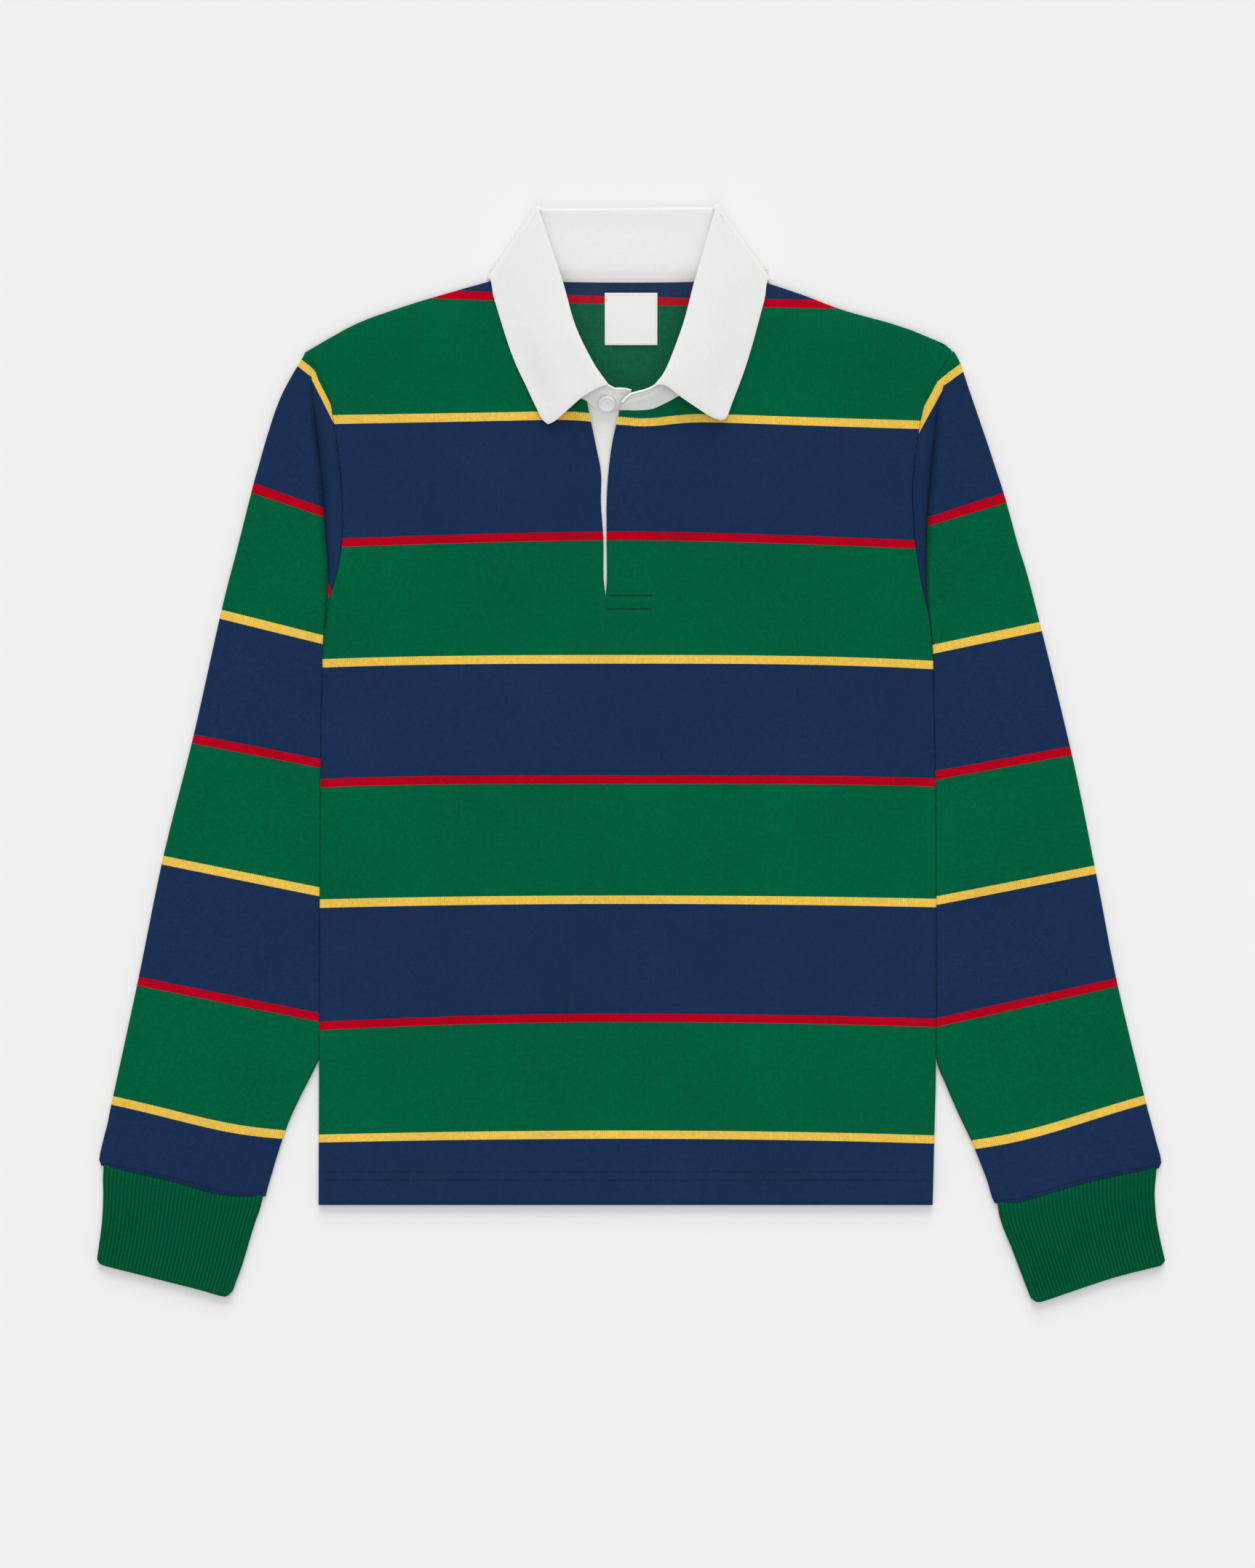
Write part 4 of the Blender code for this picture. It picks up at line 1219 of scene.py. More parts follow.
def make_sleeve(side):
    """A sleeve: a flattened tube, full in the middle, with its pleat, creases and puckers by the cuff seam.

    The puckers are a sine across whose length wanders, and a bell of the rows. Two more bells of the rows
    dip the cloth into the cuff seam.
    """
    plan = sleeve_plan(side)
    across = lengths(plan)
    share = across / across[:, -1:]
    belly = np.sin(np.pi * share)
    rise = tube_rise(across, BODY_ROUND)
    left = rows_left(plan)
    pleat_rows = len(PLEAT_ROWS)
    plain = smooth(left, 0, 4) * (np.arange(len(plan)) >= pleat_rows - 1)[:, None]
    relief = sleeve_relief(side, plan) * np.clip(belly * 2, 0, 1) * plain
    puckers = 0.22 * np.sin(across * 2 * np.pi / 7.3 + 1.3 * np.sin(across / 11)) * bell(left - 3, 2.2)
    full = [height for _, _, height in PLEAT_ROWS] + [SLEEVE_FULLNESS] * (len(plan) - pleat_rows)
    fullness = np.array(full)[:, None] * np.clip(belly, 0, 1) ** 0.5
    fullness = fullness - 0.5 * bell(left, 0.7) - SEAM_GROOVE * bell(left - 0.7, 0.35)
    top = layer(plan, BODY_MIDDLE + rise + fullness + relief + puckers * belly)
    under = np.clip(waves(plan, 90, 0.3, 33), 0, None) * belly * plain
    bottom = layer(plan, BODY_MIDDLE - rise + under)
    strain = np.zeros(plan.shape[:2])
    strain[:pleat_rows - 5] = 0.8
    # Painted shade: the jersey's colour is darkened row by row in and beside the pleat's fold, through the
    # shade attribute
    shade = np.zeros(plan.shape[:2])
    shaded = slice(0, len(PLEAT_SHADE))
    shade[shaded] = np.array(PLEAT_SHADE)[:, None] * smooth(share[shaded], 0.1, 0.25)
    piece = tube(
        f"sleeve_{side}_cloth", top, bottom, sleeve_knit(side, plan), BODY_WALL, finish("jersey"),
        strain=strain, shade=shade,
    )
    settle(piece, f"sleeve_{side}")


def make_cuff(side):
    """A cuff: a flattened tube whose wall swells and dips RIBS times from fold to fold, on both sheets."""
    steps = RIBS * RIB_POINTS
    sides = [curve(signed(side, table[side]), even(CUFF_STEPS)) for table in (CUFF_OUTER, CUFF_INNER)]
    ends = [curve(signed(side, table[side]), even(steps)) for table in (CUFF_SEAM, CUFF_END)]
    plan = coons(*ends, *sides)
    share = even(steps)[None, :] * np.ones((len(plan), 1))
    down = lengths(plan.swapaxes(0, 1)).T
    tuck = bell(down, CUFF_TUCK["fade"])
    plan[..., 0] += SIDES[side] * CUFF_TUCK["in"] * (2 * share - 1) * bell(down, 3 * CUFF_TUCK["fade"])
    plan[..., 1] += CUFF_TUCK["up"] * tuck
    rise = tube_rise(lengths(plan), (CUFF_LOFT - CUFF_WALL) / 2)
    ridge = np.abs(np.cos(np.pi * RIBS * share)) ** 1.2
    by_folds = np.clip(np.minimum(share, 1 - share) * 30, 0, 1)
    by_hem = 0.3 + 0.7 * smooth(rows_left(plan), 0, 3)
    swell = 0.8 * (ridge - 0.6) * by_folds * (0.4 + 0.6 * (1 - tuck)) * by_hem
    middle = CUFF_LOFT / 2
    belly = np.sin(np.pi * share)
    relief = waves(plan, 60, 0.35, 41) * belly * (1 - tuck)
    inward = CUFF_TUCK["down"] * tuck * np.clip(belly * 6, 0, 1)
    top = layer(plan, middle + rise + swell + relief - inward)
    bottom = layer(plan, np.maximum(middle - rise - swell * 0.5, CUFF_WALL / 2) + inward)
    ribs = np.stack([share * RIBS + 0.5, down * MM], axis=-1)
    piece = tube(f"cuff_{side}_rib", top, bottom, ribs, CUFF_WALL, finish("rib"))
    settle(piece, f"cuff_{side}")


# ---- Collar ----------------------------------------------------------------------------------------------
def turn_outward(side):
    """Which way, in plan, the folded collar points at the side of the neck."""
    along = unit(np.subtract(WING_OUTER[side][0], FOLD_LINE[side][0]))
    return np.array([along[1], -along[0]]) * -SIDES[side]


def half_round(point, outward, high, low):
    """Points round a turn whose outermost one is at the given place, from its high layer to its low one."""
    radius = (high - low) / 2
    plan = point + outward * radius * (np.cos(TURN_ANGLES)[:, None] - 1)
    return layer(plan, (high + low) / 2 + radius * np.sin(TURN_ANGLES))


def fold_front(side, shares, line=None):
    """The fold from the side of the neck to the front, rising on the way."""
    plan = curve(line or FOLD_LINE[side], shares)
    return layer(plan, FOLD_HEIGHT_SIDE + (FOLD_HEIGHT_FRONT - FOLD_HEIGHT_SIDE) * np.asarray(shares))


def fold_turn(side):
    """The fold round the side of the neck, and the way from its centre line to the fall."""
    outward = turn_outward(side)
    points = half_round(np.array(FOLD_LINE[side][0]), outward, FOLD_HEIGHT_SIDE, FOLD_HEIGHT_BACK)
    normals = layer(outward * np.cos(TURN_ANGLES)[:, None], np.sin(TURN_ANGLES))
    return points, normals


def round_the_neck(front, turning, back):
    """Stations in order, from a function for the front of each side, one for its turn, and the back's."""
    return np.vstack([front("right")[::-1], turning("right"), back, turning("left")[::-1], front("left")])


def collar_fold(front_shares, left_line=None):
    """The fold's points and the directions from it to the fall, at each station."""
    start, end = (fold_turn(side)[0][-1] for side in SIDES)
    back = between(start, end, even(NECK_STEPS)[1:-1])
    lines = {"right": None, "left": left_line}
    points = round_the_neck(
        lambda side: fold_front(side, front_shares, lines[side]), lambda side: fold_turn(side)[0], back
    )
    up = np.array([[0, 0, 1.0]])
    normals = round_the_neck(
        lambda side: up.repeat(len(front_shares), 0),
        lambda side: fold_turn(side)[1],
        -up.repeat(len(back), 0),
    )
    return points, normals


def from_fold(fold, normals, ends, shares):
    """Each station's line: round the fold to its layer, then straight to the far edge."""
    start = fold + normals * FOLD_ROUND
    across = unit(ends - start)[:, None]
    angles = np.concatenate([[FOLD_START / FOLD_ROUND], FOLD_ANGLES[2:]])[:, None]
    rolled = fold[:, None] + FOLD_ROUND * (across * (1 - np.cos(angles)) + normals[:, None] * np.sin(angles))
    return np.concatenate([rolled, between(start[:, None], ends[:, None], shares)], axis=1)


def seam_front(side):
    """The stand's seam edge on the front neckline, a gap inside it, from the shoulder to the slit."""
    line = neckline(side)
    away = np.gradient(line, axis=0)
    away = unit(np.column_stack([away[:, 1], -away[:, 0]])) * SIDES[side]
    return layer(line + away * STAND_SEAM_GAP, panel_height(line, upper=True))


def collar_knit(grid):
    """Cloth coordinates of the collar, in metres: along the middle of it, and away from the fold."""
    along = lengths(grid[:, grid.shape[1] // 2])[:, None]
    return np.stack([np.broadcast_to(along, grid.shape[:2]) * MM, lengths(grid) * MM], axis=-1)


def stand_grid():
    """Stations of the stand, from its right end round the back of the neck to its left end.

    Each goes from the fold to the seam with the body, the front's seams on one side and the back's on the
    other. Past the wing the right end is free, and its stations come from its own table.
    """
    steps = len(FOLD_ANGLES)
    shares = even(NECK_STEPS)[1:]
    neck = back_neckline()
    back = layer(neck + (0, STAND_SEAM_GAP), np.maximum(panel_height(neck, upper=False), COLLAR_WALL / 2))
    fronts = {side: seam_front(side) for side in SIDES}

    def turning(side):
        front = fronts[side][:steps + 1][::-1]
        behind = back[:steps + 1] if side == "right" else back[::-1][:steps + 1]
        tip = (front[-1:] + behind[:1]) / 2
        tip[:, 2] = BODY_MIDDLE
        return np.vstack([front[:-1], tip, behind[1:]])

    ends = round_the_neck(lambda side: fronts[side][steps + 1:], turning, back[steps + 1:-steps - 1])
    fold, normals = collar_fold(shares, FOLD_LINE["left"][:-1] + STAND_END["left"])
    ends[-6:, 2] += STAND_END_LIFT * smooth(np.arange(6), -1, 5)
    free = curve(STAND_END["right"], even(10))[::-1]
    fold = np.vstack([free[:, [2, 3, 5]], fold])
    ends = np.vstack([free[:, [0, 1, 4]], ends])
    normals = np.vstack([normals[:1].repeat(len(free), 0), normals])
    across = even(16)[1:]
    points = from_fold(fold, -normals, ends, across)
    behind = normals[:, 2] <= 0
    lowest = np.interp(across, *STAND_STEP)
    points[behind, -len(across):, 2] = np.maximum(points[behind, -len(across):, 2], lowest)
    dent = bell(lengths(points) - STAND_ROLL["width"], STAND_ROLL["dent_width"])
    points[..., 2] -= STAND_ROLL["dent"] * dent * (~behind)[:, None]
    return points


def wing_edge_height(plan, shares):
    """Height of a wing's free edge: just clear of the front, rising to its tip as a cube."""
    tip = WING_TIP_LIFT * np.asarray(shares) ** 3
    return LOFT + WING_CLEARANCE + COLLAR_WALL / 2 + front_lift(plan) + tip


def fall_grid():
    """Stations of the fall, each from the fold out to the free edge, from wing front to wing front."""
    shares = even(NECK_STEPS)
    low = COLLAR_WALL / 2

    def front(side):
        plan = curve(WING_OUTER[side], shares)
        height = wing_edge_height(plan, shares)
        inset = (height[0] - low) / 2 * (1 - smooth(lengths(plan), 0, 16))
        return layer(plan - turn_outward(side) * inset[:, None], height)[1:]

    def turning(side):
        point = np.array(WING_OUTER[side][0], float)
        return half_round(point, turn_outward(side), wing_edge_height(point, 0.0), low)

    start, end = (turning(side)[-1] for side in SIDES)
    ends = round_the_neck(front, turning, between(start, end, even(NECK_STEPS)[1:-1]))
    turned_over = len(shares) + len(TURN_ANGLES) - 2
    ends[turned_over:-turned_over, 1] = FALL_BACK_EDGE
    fold, normals = collar_fold(shares[1:])
    across = even(WING_STEPS)[1:]
    points = from_fold(fold, normals, ends, across)
    wings = {"right": slice(len(shares) - 2, None, -1), "left": slice(1 - len(shares), None)}
    for side, rows in wings.items():
        bow_wing(points, rows, side, shares, across)
    return points


def bow_wing(points, rows, side, shares, across):
    """Bends a wing's stations so that the last one follows the wing's front edge, and crowns its middle."""
    rolled = points.shape[1] - len(across)
    edge = curve(WING_FRONT[side], across)
    straight = between(np.array(WING_FRONT[side][0]), np.array(WING_FRONT[side][-1]), across)
    crown = np.sin(np.pi * across)[None] * np.sin(np.pi * shares[1:] * 0.8)[:, None]
    points[rows, rolled:, :2] += (edge - straight)[None] * (shares[1:, None, None] ** 2)
    points[rows, rolled:, 2] += WING_BULGE * crown


def collar_relief(grid):
    """Soft unevenness of the wings: a hollow that runs to each tip, and slow waves along the free edge."""
    plan = grid[..., :2]
    hollows = sum(trough(plan, *hollow) for hollow in WING_HOLLOWS)
    upper = grid[..., 2] > FOLD_HEIGHT_BACK + 2
    return (hollows + waves(plan, 42, 0.25, 51)) * upper


def make_collar():
    """The fall, turned over, and the stand inside it."""
    fall = fall_grid()
    fall[..., 2] += collar_relief(fall)
    piece = cloth("collar_fall_twill", [(fall, collar_knit(fall))], COLLAR_WALL, finish("twill"), facing=1)
    settle(piece, "collar_fall")
    stand = stand_grid()
    piece = cloth("collar_stand_twill", [(stand, collar_knit(stand))], COLLAR_WALL, finish("twill"), facing=1)
    settle(piece, "collar_stand")


# ---- Trims -----------------------------------------------------------------------------------------------
def oblong(spots, columns, rows):
    """A grid over an upright oblong."""
    x = np.linspace(spots["left_x"], spots["right_x"], columns)
    y = np.linspace(spots["foot"], spots["head"], rows)
    return np.stack(np.meshgrid(x, y), axis=-1)


def make_placket():
    """The strip under the slit: it lies on the back, and partly follows the front's lift."""
    plan = oblong(PLACKET, 16, 60)
    height = PLACKET_HEIGHT + PLACKET_LIFT_SHARE * front_lift(plan) + waves(plan, 40, 0.12, 61)
    piece = cloth("placket", [(layer(plan, height), plan * MM)], PLACKET_WALL, finish("twill"), facing=1)
    settle(piece, "placket_under")


def make_label():
    """The label inside the back of the neck, bowed across as a sine, with its border of stitches."""
    plan = oblong(LABEL, 30, 30)
    share = (plan[..., 0] - LABEL["left_x"]) / (LABEL["right_x"] - LABEL["left_x"])
    height = LABEL_HEIGHT + LABEL_BOW * np.sin(share * np.pi) + waves(plan, 24, 0.12, 71)
    piece = cloth("label", [(layer(plan, height), plan * MM)], LABEL_WALL, finish("satin"), facing=1)
    settle(piece, "neck_label")
    x0, x1 = LABEL["left_x"] + LABEL_INSET, LABEL["right_x"] - LABEL_INSET
    y0, y1 = LABEL["foot"] + LABEL_INSET, LABEL["head"] - LABEL_INSET
    corners = ((x0, y0), (x1, y0), (x1, y1), (x0, y1))
    tree = surface_tree(piece)
    rows = [stitches_on(tree, run, *LABEL_STITCH) for run in zip(corners, corners[1:] + corners[:1])]
    stitched("label_stitches", rows, "white_thread")


def turned(profile, sides):
    """A profile of (radius, height) turned round Z: rings of points, with one point at each pole."""
    profile = np.array(profile, float)
    angles = np.linspace(0, 2 * np.pi, sides, endpoint=False)
    around = np.stack([np.cos(angles), np.sin(angles)], axis=-1)
    rings = profile[1:-1]
    return profile[0], layer(rings[:, None, :1] * around, rings[:, 1:]), profile[-1]


def make_button():
    """The button: its profile turned round its axis, tilted and put where its CAD solid is."""
    first, rings, last = turned(BUTTON_PROFILE, BUTTON_SIDES)
    count = rings.shape[0] * rings.shape[1]
    index = np.arange(count).reshape(rings.shape[:2])
    following = np.roll(index, -1, axis=1)
    caps = [(count, b, a) for a, b in zip(index[0].tolist(), following[0].tolist())]
    caps += [(count + 1, a, b) for a, b in zip(index[-1].tolist(), following[-1].tolist())]
    points = np.vstack([rings.reshape(-1, 3), (0, 0, first[1]), (0, 0, last[1])])
    tilt = math.radians(BUTTON_TILT)
    turn = np.array([[1, 0, 0], [0, math.cos(tilt), -math.sin(tilt)], [0, math.sin(tilt), math.cos(tilt)]])
    low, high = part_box("neck_button")
    points = (points - (0, 0, BUTTON_MIDDLE)) @ turn.T * MM + np.array((low + high) / 2)
    mesh = bpy.data.meshes.new("button")
    mesh.from_pydata(points.tolist(), [], ring_faces(index).tolist() + caps)
    mesh.shade_smooth()
    settle(piece_of("button", mesh, finish("rubber")), "neck_button")


# ---- Stitches --------------------------------------------------------------------------------------------
def stitches_on(tree, line, pitch, length, radius, above=True, sink=0.3):
    """A row of stitches along a plan line: where each starts and ends, its normal, thread radius and sink."""
    line = np.asarray(line, float)
    total = lengths(line)[-1]
    count = max(2, int(total / pitch))
    middles = (np.arange(count) + 0.5) / count
    half = length / 2 / total
    starts, _ = dropped(tree, along_line(line, middles - half), above)
    ends, normals = dropped(tree, along_line(line, middles + half), above)
    if len(starts) != len(ends):
        raise RuntimeError("a row of stitches runs off its cloth")
    return starts, ends, normals, radius * MM, sink


def stitch_points(starts, ends, normals, radius, sink):
    """Each stitch is a small tube of five rings that dives into the cloth at both ends."""
    along = ends - starts
    sideways = unit(np.cross(normals, along))
    upwards = unit(np.cross(along, sideways))
    angles = np.linspace(0, 2 * np.pi, STITCH_SIDES, endpoint=False)
    rings = []
    for share, swell, lift in STITCH_RINGS:
        centre = starts + along * share + upwards * radius * (lift - sink)
        spokes = np.cos(angles)[:, None, None] * sideways + np.sin(angles)[:, None, None] * upwards
        rings.append(centre[:, None] + spokes.swapaxes(0, 1) * radius * swell)
    return np.stack(rings, axis=1)


def stitched(name, rows, thread):
    """One mesh of all the stitches of some rows: small tubes, their ends closed with strips of quads."""
    points = np.concatenate([stitch_points(*row) for row in rows])
    count, rings, sides, _ = points.shape
    index = np.arange(count * rings * sides).reshape(count, rings, sides)
    faces = [ring_faces(index)]
    for corners, order in ((index[:, 0], slice(None, None, -1)), (index[:, -1], slice(None))):
        for k in range(sides // 2 - 1):
            faces.append(corners[:, [k, k + 1, sides - 2 - k, sides - 1 - k]][:, order])
    piece = piece_of(name, mesh_of(name, points.reshape(-1, 3), np.vstack(faces)), finish(thread))
    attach(piece, "root")


def make_body_stitches(settings):
    """Two rows round the hem, on both panels, and two thick rows across the foot of the facing."""
    front, back = (surface_tree(bpy.data.objects[name]) for name in ("front", "back"))
    left, right = (side * (SIDE_SEAM[name][0][0] - HEM_INSET) for name, side in reversed(SIDES.items()))
    pitch, length, radius = settings.pitch, settings.length, settings.radius
    hem = []
    for up in HEM_ROWS:
        line = ((right, up), (left, up))
        hem.append(stitches_on(front, line, pitch, length, radius))
        hem.append(stitches_on(back, line, pitch, length, radius, above=False, sink=UNDERSIDE_SINK))
    stitched("hem_stitches", hem, "navy_thread")
    bars = [
        stitches_on(front, ((x0, up), (x1, up)), FACING_PITCH, long, radius * thick)
        for up, x0, x1, long, thick in FACING_BARS
    ]
    stitched("placket_stitches", bars, "green_thread")


def make_cuff_stitches(settings):
    """A row beside each cuff seam, on both sheets of the sleeve."""
    for side in SIDES:
        tree = surface_tree(bpy.data.objects[f"sleeve_{side}_cloth"])
        line = curve(signed(side, CUFF_SEAM[side]), np.linspace(0.02, 0.98, 60)) + (0, CUFF_STITCH["up"])
        rows = [
            stitches_on(tree, line, CUFF_STITCH["pitch"], CUFF_STITCH["length"], settings.radius, above, sink)
            for above, sink in ((True, 0.3), (False, UNDERSIDE_SINK))
        ]
        stitched(f"cuff_{side}_stitches", rows, "navy_thread")


def make_neck_stitches(settings):
    """The row inside the back of the neck, and two close rows round the buttonhole in the stand."""
    tree = surface_tree(bpy.data.objects["collar_stand_twill"])
    rows = [stitches_on(tree, NECK_ROW, 2.6, 2.0, settings.radius * 0.8, sink=0.55)]
    hole = np.array(BUTTONHOLE)
    along = hole[1] - hole[0]
    outward = unit(np.array([-along[1], along[0]])) * BUTTONHOLE_HALF
    for edge in (hole + outward, hole - outward):
        rows.append(stitches_on(tree, edge, 0.8, 0.7, 0.3, sink=0.2))
    stitched("collar_stitches", rows, "white_thread")


# ---- Stage -----------------------------------------------------------------------------------------------
def floor_material(colour):
    """The floor: one colour with a faint broad grain, and no gloss."""
    made, n, shader = new_material("Pale floor", 0.9, 0.0)
    grain = n.plus(0.995, n.times(n.noise(n.place(), 3.0), 0.01))
    n.feed(shader.inputs["Base Color"], n.scaled(colour, grain))
    shader.inputs["Specular IOR Level"].default_value = 0.0
    return made


def make_floor(stage):
    """A wide flat square."""
    mesh = bpy.data.meshes.new("floor")
    corners = [(x * FLOOR_HALF, y * FLOOR_HALF, 0) for x, y in ((-1, -1), (1, -1), (1, 1), (-1, 1))]
    mesh.from_pydata(corners, [], [(0, 1, 2, 3)])
    piece_of("floor", mesh, [floor_material(stage.floor)])


def make_camera(scene, stage):
    """Looks straight down on the shirt from where the view is as wide as the settings say."""
    low, high = CAD_BOX
    lens = bpy.data.cameras.new("camera")
    lens.lens = stage.focal_length
    lens.sensor_width = SENSOR
    lens.clip_end = 50.0
    camera = bpy.data.objects.new("camera", lens)
    camera.location = (
        (low[0] + high[0]) / 2 + stage.offset_x,
        (low[1] + high[1]) / 2 + stage.offset_y,
        stage.view_width * VIEW_SHAPE * stage.focal_length / SENSOR,
    )
    scene.collection.objects.link(camera)
    scene.camera = camera


def make_lights(scene, stage):
    """Three soft lights, slanted round X, and the room's own."""
    lights = (
        ("window", stage.window, stage.slant, stage.softness),
        ("ceiling", stage.ceiling, *CEILING_LIGHT),
        ("fill", stage.fill, *FILL_LIGHT),
    )
    for name, strength, slant, softness in lights:
        sun = bpy.data.lights.new(name, "SUN")
        sun.energy = strength
        sun.angle = math.radians(softness)
        lamp = bpy.data.objects.new(name, sun)
        lamp.rotation_euler = (math.radians(slant), 0, 0)
        scene.collection.objects.link(lamp)
    world = bpy.data.worlds.new("room")
    world.use_nodes = True
    background = world.node_tree.nodes["Background"]
    background.inputs["Color"].default_value = (1, 1, 1, 1)
    background.inputs["Strength"].default_value = stage.ambient
    scene.world = world


def make_stage(scene):
    """The floor, the camera and the lights, with colours shown as they are."""
    stage = scene.shirt_stage
    make_floor(stage)
    make_camera(scene, stage)
    make_lights(scene, stage)
    scene.view_settings.view_transform = "Standard"
    scene.view_settings.look = "None"


# ---- Settings --------------------------------------------------------------------------------------------
def setting(name, description, default, **limits):
    """A number in the sidebar."""
    return FloatProperty(name=name, description=description, default=default, **limits)


def size_setting(name, description, default):
    """A size of the cloth."""
    return setting(name, f"{description}, in millimetres", default, min=0)


def colour_setting(name, description, default):
    """A colour in the sidebar, in linear light."""
    return FloatVectorProperty(
        name=name, description=description, default=default, subtype="COLOR", min=0, max=1
    )


class ShirtColours(bpy.types.PropertyGroup):
    """Yarn, cloth and thread colours."""

    navy: colour_setting("Navy", "Navy bands", (0.0101, 0.0286, 0.0837))
    green: colour_setting("Green", "Green bands", (0.0, 0.112, 0.0449))
    red: colour_setting("Red", "Red stripes", (0.446, 0.0, 0.0115))
    yellow: colour_setting("Yellow", "Yellow stripes", (0.834, 0.537, 0.079))
    white: colour_setting("White", "Collar and placket", (0.846, 0.855, 0.853))
    white_shade: colour_setting("White shade", "White cloth where its threads dip", (0.80, 0.79, 0.755))
    rib_green: colour_setting("Rib green", "Cuffs", (0.0, 0.082, 0.032))
    button: colour_setting("Button", "Rubber button", (0.84, 0.85, 0.87))
    navy_thread: colour_setting("Navy thread", "Hem and cuff stitches", (0.005, 0.012, 0.042))
    green_thread: colour_setting("Green thread", "Placket stitches", (0.0, 0.045, 0.018))


class KnitSettings(bpy.types.PropertyGroup):
    """Scale and depth of the jersey's stitches."""

    column: size_setting("Column", "Width of one column of stitches", 1.38)
    row: size_setting("Row", "Height of one row of stitches", 1.1)
    notch: size_setting("Notch", "How far each stitch notches a stripe's edge", 0.42)
    relief: size_setting("Relief", "Height of the stitches", 0.16)
    # Depth of the painted shade in the valleys between the columns of stitches
    contrast: setting("Contrast", "How dark the valleys are", 0.24, min=0, max=1)
    mottle: setting("Mottle", "How uneven the yarn's colour is", 0.32, min=0, max=1)


class StitchSettings(bpy.types.PropertyGroup):
    """Sewing stitches."""

    pitch: size_setting("Pitch", "Distance from one stitch to the next", 2.1)
    length: size_setting("Length", "Length of a stitch", 1.35)
    radius: size_setting("Radius", "Radius of the thread", 0.36)


class StageSettings(bpy.types.PropertyGroup):
    """Floor, camera and light."""

    floor: colour_setting("Floor", "Colour of the floor", (0.86, 0.86, 0.86))
    view_width: setting("View width", "Width of the view on the floor", 0.9315, unit="LENGTH")
    offset_x: setting("View offset X", "Camera's place beside the shirt's middle", -0.0022, unit="LENGTH")
    offset_y: setting("View offset Y", "Camera's place above the shirt's middle", -0.0229, unit="LENGTH")
    focal_length: setting("Focal length", "Camera's focal length, mm", 100.0, min=10)
    window: setting("Window", "Strength of the low light past the collar", 1.5, min=0)
    slant: setting("Slant", "Slant of that light from straight down, degrees", -62.0)
    softness: setting("Softness", "Apparent width of that light, degrees", 36.0, min=1)
    ceiling: setting("Ceiling", "Strength of the light overhead", 0.6, min=0)
    fill: setting("Fill", "Strength of the light from the hem's side", 0.5, min=0)
    ambient: setting("Ambient", "Strength of the room's own light", 0.49, min=0)


# ---- Operators -------------------------------------------------------------------------------------------
class SHIRT_OT_body(bpy.types.Operator):
    """Makes the back and front panels"""

    bl_idname = "shirt.body"
    bl_label = "Body panels"

    def execute(self, context):
        make_back()
        make_front()
        return {"FINISHED"}


class SHIRT_OT_sleeves(bpy.types.Operator):
    """Makes both sleeves, with their pleats"""

    bl_idname = "shirt.sleeves"
    bl_label = "Sleeves"

    def execute(self, context):
        for side in SIDES:
            make_sleeve(side)
        return {"FINISHED"}


class SHIRT_OT_cuffs(bpy.types.Operator):
    """Makes both ribbed cuffs"""

    bl_idname = "shirt.cuffs"
    bl_label = "Cuffs"

    def execute(self, context):
        for side in SIDES:
            make_cuff(side)
        return {"FINISHED"}


class SHIRT_OT_collar(bpy.types.Operator):
    """Makes the collar's stand and fall"""

    bl_idname = "shirt.collar"
    bl_label = "Collar"

    def execute(self, context):
        make_collar()
        return {"FINISHED"}


class SHIRT_OT_trims(bpy.types.Operator):
    """Makes the placket, the bare label and the button"""

    bl_idname = "shirt.trims"
    bl_label = "Trims"

    def execute(self, context):
        make_placket()
        make_label()
        make_button()
        return {"FINISHED"}


class SHIRT_OT_stitches(bpy.types.Operator):
    """Sews the hem, cuff, placket and collar stitches"""

    bl_idname = "shirt.stitches"
    bl_label = "Stitches"

    def execute(self, context):
        settings = context.scene.shirt_stitches
        make_body_stitches(settings)
        make_cuff_stitches(settings)
        make_neck_stitches(settings)
        return {"FINISHED"}


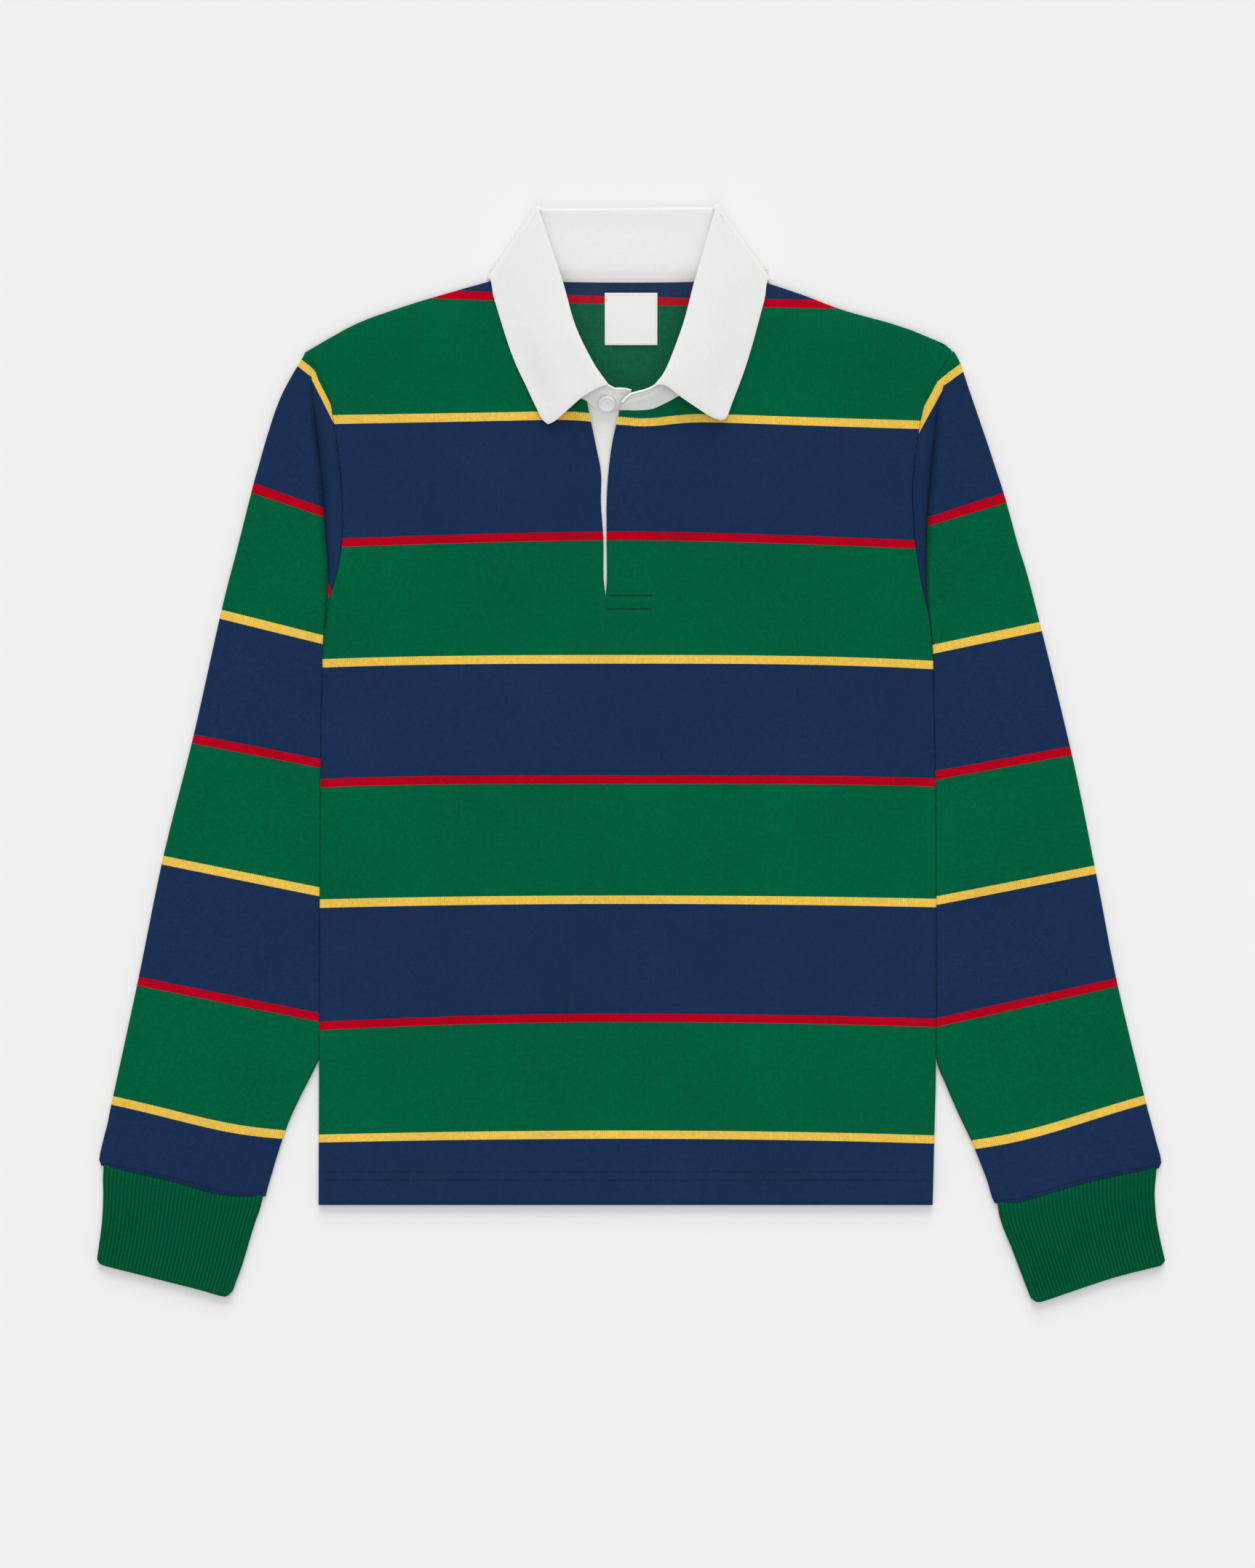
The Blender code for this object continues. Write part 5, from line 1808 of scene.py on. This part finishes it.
class SHIRT_OT_stage(bpy.types.Operator):
    """Makes the floor, the camera and the lights"""

    bl_idname = "shirt.stage"
    bl_label = "Stage"

    def execute(self, context):
        make_stage(context.scene)
        return {"FINISHED"}


class SHIRT_PT_panel(bpy.types.Panel):
    """Lists the shirt's settings and the pieces to make"""

    bl_label = "Rugby Shirt"
    bl_idname = "SHIRT_PT_panel"
    bl_space_type = "VIEW_3D"
    bl_region_type = "UI"
    bl_category = "Rugby Shirt"

    def draw(self, context):
        for name, group in SETTINGS:
            box = self.layout.box()
            for word in group.__annotations__:
                box.prop(getattr(context.scene, name), word)
        for operator in OPERATORS:
            self.layout.operator(operator.bl_idname)


SETTINGS = (
    ("shirt_colours", ShirtColours), ("shirt_knit", KnitSettings), ("shirt_stitches", StitchSettings),
    ("shirt_stage", StageSettings),
)
OPERATORS = (
    SHIRT_OT_stage, SHIRT_OT_body, SHIRT_OT_sleeves, SHIRT_OT_cuffs, SHIRT_OT_collar, SHIRT_OT_trims,
    SHIRT_OT_stitches,
)


def register():
    """Adds the settings, the operators and the sidebar panel."""
    for name, group in SETTINGS:
        bpy.utils.register_class(group)
        setattr(bpy.types.Scene, name, PointerProperty(type=group))
    for kind in (*OPERATORS, SHIRT_PT_panel):
        bpy.utils.register_class(kind)


def unregister():
    """Takes them all away again."""
    for kind in (SHIRT_PT_panel, *reversed(OPERATORS)):
        bpy.utils.unregister_class(kind)
    for name, group in reversed(SETTINGS):
        delattr(bpy.types.Scene, name)
        bpy.utils.unregister_class(group)


def main():
    """Builds the whole shirt."""
    register()
    for item in [o for o in bpy.data.objects if o.type in {"LIGHT", "CAMERA"} or o.name == "Cube"]:
        bpy.data.objects.remove(item)
    bpy.ops.shirt.stage()
    bpy.ops.shirt.body()
    bpy.ops.shirt.sleeves()
    bpy.ops.shirt.cuffs()
    bpy.ops.shirt.collar()
    bpy.ops.shirt.trims()
    bpy.ops.shirt.stitches()


if __name__ == "__main__":
    main()
